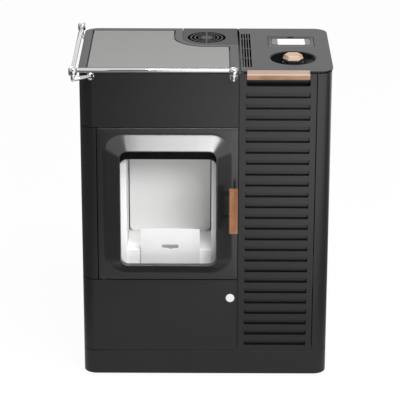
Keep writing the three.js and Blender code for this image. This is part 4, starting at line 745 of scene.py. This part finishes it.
def loft(name, rings):
    """Joins rings of equally many points, and the last ring back to the first."""
    shell = bmesh.new()
    loops = [[shell.verts.new(point) for point in ring] for ring in rings]
    for here, there in zip(loops, loops[1:] + loops[:1]):
        for i in range(len(here)):
            after = (i + 1) % len(here)
            shell.faces.new((here[i], here[after], there[after], there[i]))
    bmesh.ops.recalc_face_normals(shell, faces=shell.faces)
    return mesh_from(shell, name)


def bezel_profile():
    """Pairs of share (0 at the foot, 1 at the rim of the window) and depth in front of the door."""
    foot_round = 0.16
    crest_round = 0.05
    slope_top = 0.93
    crest_speed = 1.25  # the crest is reached at 1 / 1.25 of its width, and is level from there
    eighths = [i / 8 for i in range(9)]
    profile = [(foot_round * t, bezel_proud * foot_round * t * t * 0.5) for t in eighths]
    start = profile[-1]
    end = (1 - 2 * crest_round, bezel_proud * slope_top)
    for t in (0.2, 0.4, 0.6, 0.8):
        profile.append((start[0] + (end[0] - start[0]) * t, start[1] + (end[1] - start[1]) * t))
    for t in eighths:
        share = end[0] + (1 - end[0]) * t
        rise = sin(0.5 * pi * min(1, t * crest_speed))
        profile.append((share, end[1] + (bezel_proud - end[1]) * rise))
    return profile


def bezel_ring(share, proud, offset=0.0):
    foot = 1 - share
    low = (window_low.x - bezel_wide * foot - offset, window_low.z - bezel_below * foot - offset)
    high = (window_high.x + bezel_wide * foot + offset, window_high.z + bezel_above * foot + offset)
    radius = window_radius + (bezel_corner - window_radius) * foot + offset
    return rounded_ring(low, high, radius, door_face - proud)


def make_bezel():
    def edge(inset, depth):
        low = (bezel_low.x + inset, bezel_low.z + inset)
        high = (bezel_high.x - inset, bezel_high.z - inset)
        return rounded_ring(low, high, outer_corner - inset, depth)

    profile = bezel_profile()
    turns = [radians(90 * i / 4) for i in range(5)]
    rings = [edge(bezel_edge * (1 - cos(a)), door_face + bezel_edge * (1 - sin(a))) for a in turns]
    rings += [bezel_ring(share, proud) for share, proud in profile]
    rings.append(bezel_ring(1, bezel_proud - lip_round, -lip_inset))
    rings.append(bezel_ring(1, bezel_proud - bezel_lip, -lip_inset))
    rings.append(bezel_ring(1, bezel_proud - bezel_lip, bezel_sheet))
    rings += [bezel_ring(share, proud - bezel_sheet) for share, proud in reversed(profile)]
    rings.append(edge(0, door_face + bezel_sheet))
    stands_for(new_piece("door_bezel_made", loft("door_bezel_made", rings), bezel_coat), "door_bezel")


make_bezel()

# ---------------------------------------------------------------- door glass, frame, seal and handle
# Clear heat-proof glass behind the bezel, held by a black cast frame with a rope seal. The handle is
# an oiled wooden bar on a black strap. Two zinc-plated pins on the left carry the door.
clear_glass = Finish("clear_glass", Base_Color=(0.02, 0.022, 0.022), Roughness=0.03)
clear_glass.set(Alpha=clear_glass.noise(6, detail=3) * 0.04 + 0.03)
dress("door_glass", clear_glass, 0.0005)

stove_paint = Finish("matt_stove_paint", Specular_IOR_Level=0.35)
worn = stove_paint.noise(35, detail=5)
stove_paint.set(
    Base_Color=stove_paint.blend(worn, (0.006, 0.006, 0.0062), (0.014, 0.0138, 0.0135)),
    Roughness=worn * 0.15 + 0.5,
)
stove_paint.relief(stove_paint.noise(500, detail=3), 0.00012)
soot = Finish("sooted_paint", Specular_IOR_Level=0.05)
smoke = soot.noise(30, detail=4)
soot.set(Base_Color=soot.blend(smoke, (0.0015, 0.0015, 0.0015), (0.003, 0.0029, 0.0028)))
soot.set(Roughness=soot.noise(90) * 0.2 + 0.6)
dress("door_frame", soot, 0.0008)
dress("door_handle_bracket", stove_paint, 0.0007)

rope = Finish("glass_fibre_rope", Roughness=0.95)
braid = rope.node(
    "ShaderNodeTexWave",
    {"wave_type": "BANDS", "bands_direction": "DIAGONAL"},
    {"Vector": rope.here(), "Scale": 110.0, "Distortion": 1.5, "Detail": 1.0},
)
rope.set(Base_Color=rope.blend(braid, (0.05, 0.049, 0.046), (0.2, 0.195, 0.18)))
rope.relief(braid, 0.0006)
dress("door_gasket", rope, 0.0003, 1, sharp=60)


def oiled_wood(name, along, dark, light, ring_scale=60):
    """Straight grain along one axis: 0 for x, 2 for z."""
    stretch = [1, 1, 1]
    stretch[along] = 0.06
    wood = Finish(name, Specular_IOR_Level=0.4)
    growth = wood.noise(ring_scale, detail=3, stretch=tuple(stretch), roughness=0.55)
    cloud = wood.noise(28, detail=2, stretch=tuple(0.5 if s < 1 else 1 for s in stretch))
    pores = wood.noise(ring_scale * 14, detail=2, stretch=tuple(stretch))
    tone = wood.blend((growth * 0.6 + cloud * 0.4).rise(0.36, 0.62), dark, light)
    wood.set(
        Base_Color=wood.blend(pores ** 3 * 1.5, tone, tuple(c * 0.5 for c in dark)),
        Roughness=pores * 0.15 + 0.38,
    )
    return wood.relief(pores, 0.00012)


handle_wood = oiled_wood("handle_wood", 2, (0.15, 0.06, 0.024), (0.3, 0.135, 0.06))
dress("door_handle", handle_wood, 0.0012, 3)

# Zinc spangle: flat crystals a few millimetres wide, each of its own grey and gloss.
zinc = Finish("galvanised_sheet", Metallic=1.0)
cells = {"Vector": zinc.here(), "Scale": 160.0}
crystals = zinc.node("ShaderNodeTexVoronoi", values=cells, output="Color")
shade = zinc.node("ShaderNodeSeparateColor", values={"Color": crystals})
zinc.set(Base_Color=zinc.blend(shade, (0.36, 0.38, 0.4), (0.56, 0.58, 0.6)))
zinc.set(Roughness=shade * 0.2 + 0.32)
zinc.relief(shade, 0.00003)
dress("door_hinge_pin_lower", zinc, 0.0004)
dress("door_hinge_pin_upper", zinc, 0.0004)

# ---------------------------------------------------------------- lower door, its button, ash drawer
# A plain coated door wrapped round the left corner, opened by a glossy white push button, with the
# galvanised ash drawer behind it.
dress("lower_door", black_coat, corners=True)
gloss_white = Finish("gloss_white", Coat_Weight=0.3)
gloss_white.set(
    Base_Color=gloss_white.blend(gloss_white.noise(80), (0.48, 0.48, 0.476), (0.54, 0.54, 0.54)),
    Roughness=gloss_white.noise(200) * 0.08 + 0.16,
)
dress("lower_door_button", gloss_white, 0.001, 3)
dress("lower_door_hinge_rod", zinc, 0.0003)
dress("ash_drawer", zinc, 0.0004)

# ---------------------------------------------------------------- fire room
# Pale pressed-board linings stand in a black cast casing: two sides, the fireback, the baffle, and
# the hearth slab that holds the burn pot, whose cast front is burnt to a light ash grey.
pale_board = Finish("pale_board", Specular_IOR_Level=0.2)
mottle = pale_board.noise(18, detail=5)
speck = pale_board.noise(420, detail=2)
pale_board.set(
    Base_Color=pale_board.blend(mottle * 0.7 + speck * 0.3, (0.82, 0.82, 0.815), (0.89, 0.89, 0.885)),
    Roughness=speck * 0.15 + 0.7,
)
pale_board.relief(speck, 0.00015)
for node in ("side_liner_left", "side_liner_right", "fireback_panel", "baffle_plate", "pot_surround"):
    dress(node, pale_board, 0.0015, 3)
pale_pot = Finish("pale_pot", Specular_IOR_Level=0.3)
heat = pale_pot.noise(14, detail=4)
pale_pot.set(
    Base_Color=pale_pot.blend(heat, (0.66, 0.66, 0.66), (0.76, 0.76, 0.76)),
    Roughness=heat * 0.2 + 0.4,
)
dress("burn_pot", pale_pot, 0.0008)
dress("firebox_casing", stove_paint, 0.0008)
dress("igniter_tube", zinc, 0.0006)

# ---------------------------------------------------------------- pellet feed
# The black-coated hopper hangs behind the louvres; below it are the slanted galvanised auger and its
# gear motor.
black_plastic = Finish("black_plastic", Specular_IOR_Level=0.4)
fine = black_plastic.noise(1100, detail=1)
flow = black_plastic.noise(25)
black_plastic.set(
    Base_Color=black_plastic.blend(flow, (0.008, 0.008, 0.0085), (0.014, 0.014, 0.0145)),
    Roughness=fine * 0.12 + 0.38,
)
black_plastic.relief(fine, 0.00004)
dress("pellet_hopper", black_coat, 0.0004)
dress("auger_tube", zinc, 0.0005)
dress("auger_screw", zinc, 0.0003)
dress("auger_gear_motor", black_plastic, 0.001)

# ---------------------------------------------------------------- hopper lid
# The right bay's top is one lid of coated steel with vent slots and a pressed dish, which is lined with
# a black moulded cup. A wooden bar along its front edge is the grip.
lid_coat = powder_coat("satin_lid_coat", (0.009, 0.009, 0.0092), 0.37, 0.38)
dress("hopper_lid", lid_coat, 0.0005, corners=True)
knob_low, knob_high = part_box("knob_cap")
lid_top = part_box("hopper_lid")[1].z
dish_depth = 0.011
cup_rim = 0.0617
cup_foot = 0.0586
cup_hole = 0.0292
cup_round = 0.004
cup_sheet = 0.0002
cup_gap = 0.0001  # between the cup's floor and the dish's
rim_drop = 0.0016
# Painted light: the cup is painted lighter to the right of the knob's axis and towards the front, as if
# lit there.
painted_light_side = (0.015, 0.058)  # where the cup grows lighter, to the right of the knob's axis
painted_light_half = 0.03


def make_dish_cup():
    centre = (knob_low + knob_high) / 2
    floor = cup_sheet + cup_gap - dish_depth
    turns = [radians(90 * i / 6) for i in range(7)]
    bend = [(cup_foot - cup_round * (1 - cos(a)), floor + cup_round * (1 - sin(a))) for a in turns]
    inside = [(cup_rim - cup_sheet, -rim_drop), *bend, (cup_hole, floor)]
    outside = [(cup_hole, floor - cup_sheet), (cup_foot, floor - cup_sheet), (cup_rim, -rim_drop)]
    shell = bmesh.new()
    profile = [*inside, *outside]
    place = Matrix.Translation((centre.x, centre.y, lid_top))
    turn_profile(shell, [*profile, profile[0]], place, steps=72)
    bmesh.ops.remove_doubles(shell, verts=shell.verts, dist=1e-7)
    bmesh.ops.recalc_face_normals(shell, faces=shell.faces)
    cup_black = Finish("cup_black", Specular_IOR_Level=0.0)
    # Painted light: a mask by position that blends the cup's black towards a lighter grey.
    lit = cup_black.axis("X").rise(centre.x + painted_light_side[0], centre.x + painted_light_side[1])
    lit = lit * (1 - cup_black.axis("Y").rise(centre.y - painted_light_half, centre.y + painted_light_half))
    haze = cup_black.noise(60, detail=3)
    cup_black.set(Base_Color=cup_black.blend(lit, (0.004, 0.004, 0.0044), (0.065, 0.065, 0.067)))
    cup_black.set(Roughness=haze * 0.1 + 0.3)
    piece = new_piece("dish_cup", mesh_from(shell, "dish_cup"), cup_black)
    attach(piece, "hopper_lid")


make_dish_cup()
grip_edge = lid_top - 0.0112  # height of the edge between the grip's front and its sloped top
edge_blend = 0.0006
highlight_reach = 0.0016
grip_wood = oiled_wood("grip_wood", 0, (0.135, 0.073, 0.037), (0.32, 0.19, 0.12))
planed = Wire(grip_wood, grip_wood.shader.inputs["Base Color"].links[0].from_socket)
# Painted sheen: the grip's sloped top is coloured in a lighter, pinker tone than its front.
painted_top_sheen = grip_wood.blend(0.85, planed, (0.165, 0.117, 0.094))
on_top = grip_wood.axis("Z").rise(grip_edge, grip_edge + edge_blend)
# Painted highlight: a bright band along the edge between the grip's front and its sloped top.
painted_edge_highlight = on_top * (1 - grip_wood.axis("Z").rise(grip_edge + edge_blend, grip_edge + highlight_reach))
sloped = grip_wood.blend(on_top, planed, painted_top_sheen)
grip_wood.set(Base_Color=grip_wood.blend(painted_edge_highlight, sloped, (0.5, 0.37, 0.27)))
dress("grip_bar", grip_wood, 0.0012, 3)
dress("lid_hinge_rod", zinc, 0.0004)

# ---------------------------------------------------------------- display
# A coated sheet surround sunk into the lid, a smoked cover with round corners lying in it, and a plain
# screen lit from behind.
dress("display_bezel", top_coat, 0.0004)
smoked = Finish("smoked_cover", Roughness=0.16, Coat_Weight=0.2)
smoked.set(Base_Color=smoked.blend(smoked.noise(30), (0.03, 0.031, 0.032), (0.042, 0.043, 0.044)))
dress("display_glass", smoked, 0.0003)
screen = Finish("pale_screen", Roughness=0.2, Emission_Strength=0.35)
glow = screen.noise(14)
screen.set(
    Base_Color=screen.blend(glow, (0.42, 0.435, 0.44), (0.48, 0.495, 0.5)),
    Emission_Color=screen.blend(glow, (0.9, 0.95, 0.96), (1, 1, 1)),
)
dress("lcd_panel", screen, 0.0001, 1)

# ---------------------------------------------------------------- knob
# A six-sided knob on a steel shaft: black moulded base and a faceted wooden cap with a clear coat.
cap_wood = oiled_wood("cap_wood", 0, (0.3, 0.19, 0.125), (0.5, 0.39, 0.3), 90)
cap_wood.set(Coat_Weight=0.1)
dress("knob_shaft", zinc, 0.0003)
dress("knob_base", black_plastic, 0.0008)
dress("knob_cap", cap_wood, 0.0005, 2, sharp=15)

# ---------------------------------------------------------------- fans, pipes and electrics
# Die-cast smoke fan with its duct, sheet-metal room blower, air pipe, control box, and the mains
# socket with its rocker switch on the rear.
cast = Finish("die_cast_aluminium", Metallic=1.0)
skin = cast.noise(90, detail=4)
cast.set(Base_Color=cast.blend(skin, (0.4, 0.41, 0.42), (0.55, 0.56, 0.57)))
cast.set(Roughness=skin * 0.2 + 0.35)
cast.relief(cast.noise(600, detail=2), 0.00015)
dress("smoke_fan_housing", cast, 0.0008)
for node in ("smoke_fan_wheel", "air_inlet_pipe", "blower_housing"):
    dress(node, zinc, 0.0004)
for node in ("blower_wheel", "control_box", "power_inlet", "main_switch"):
    dress(node, black_plastic, 0.0005)
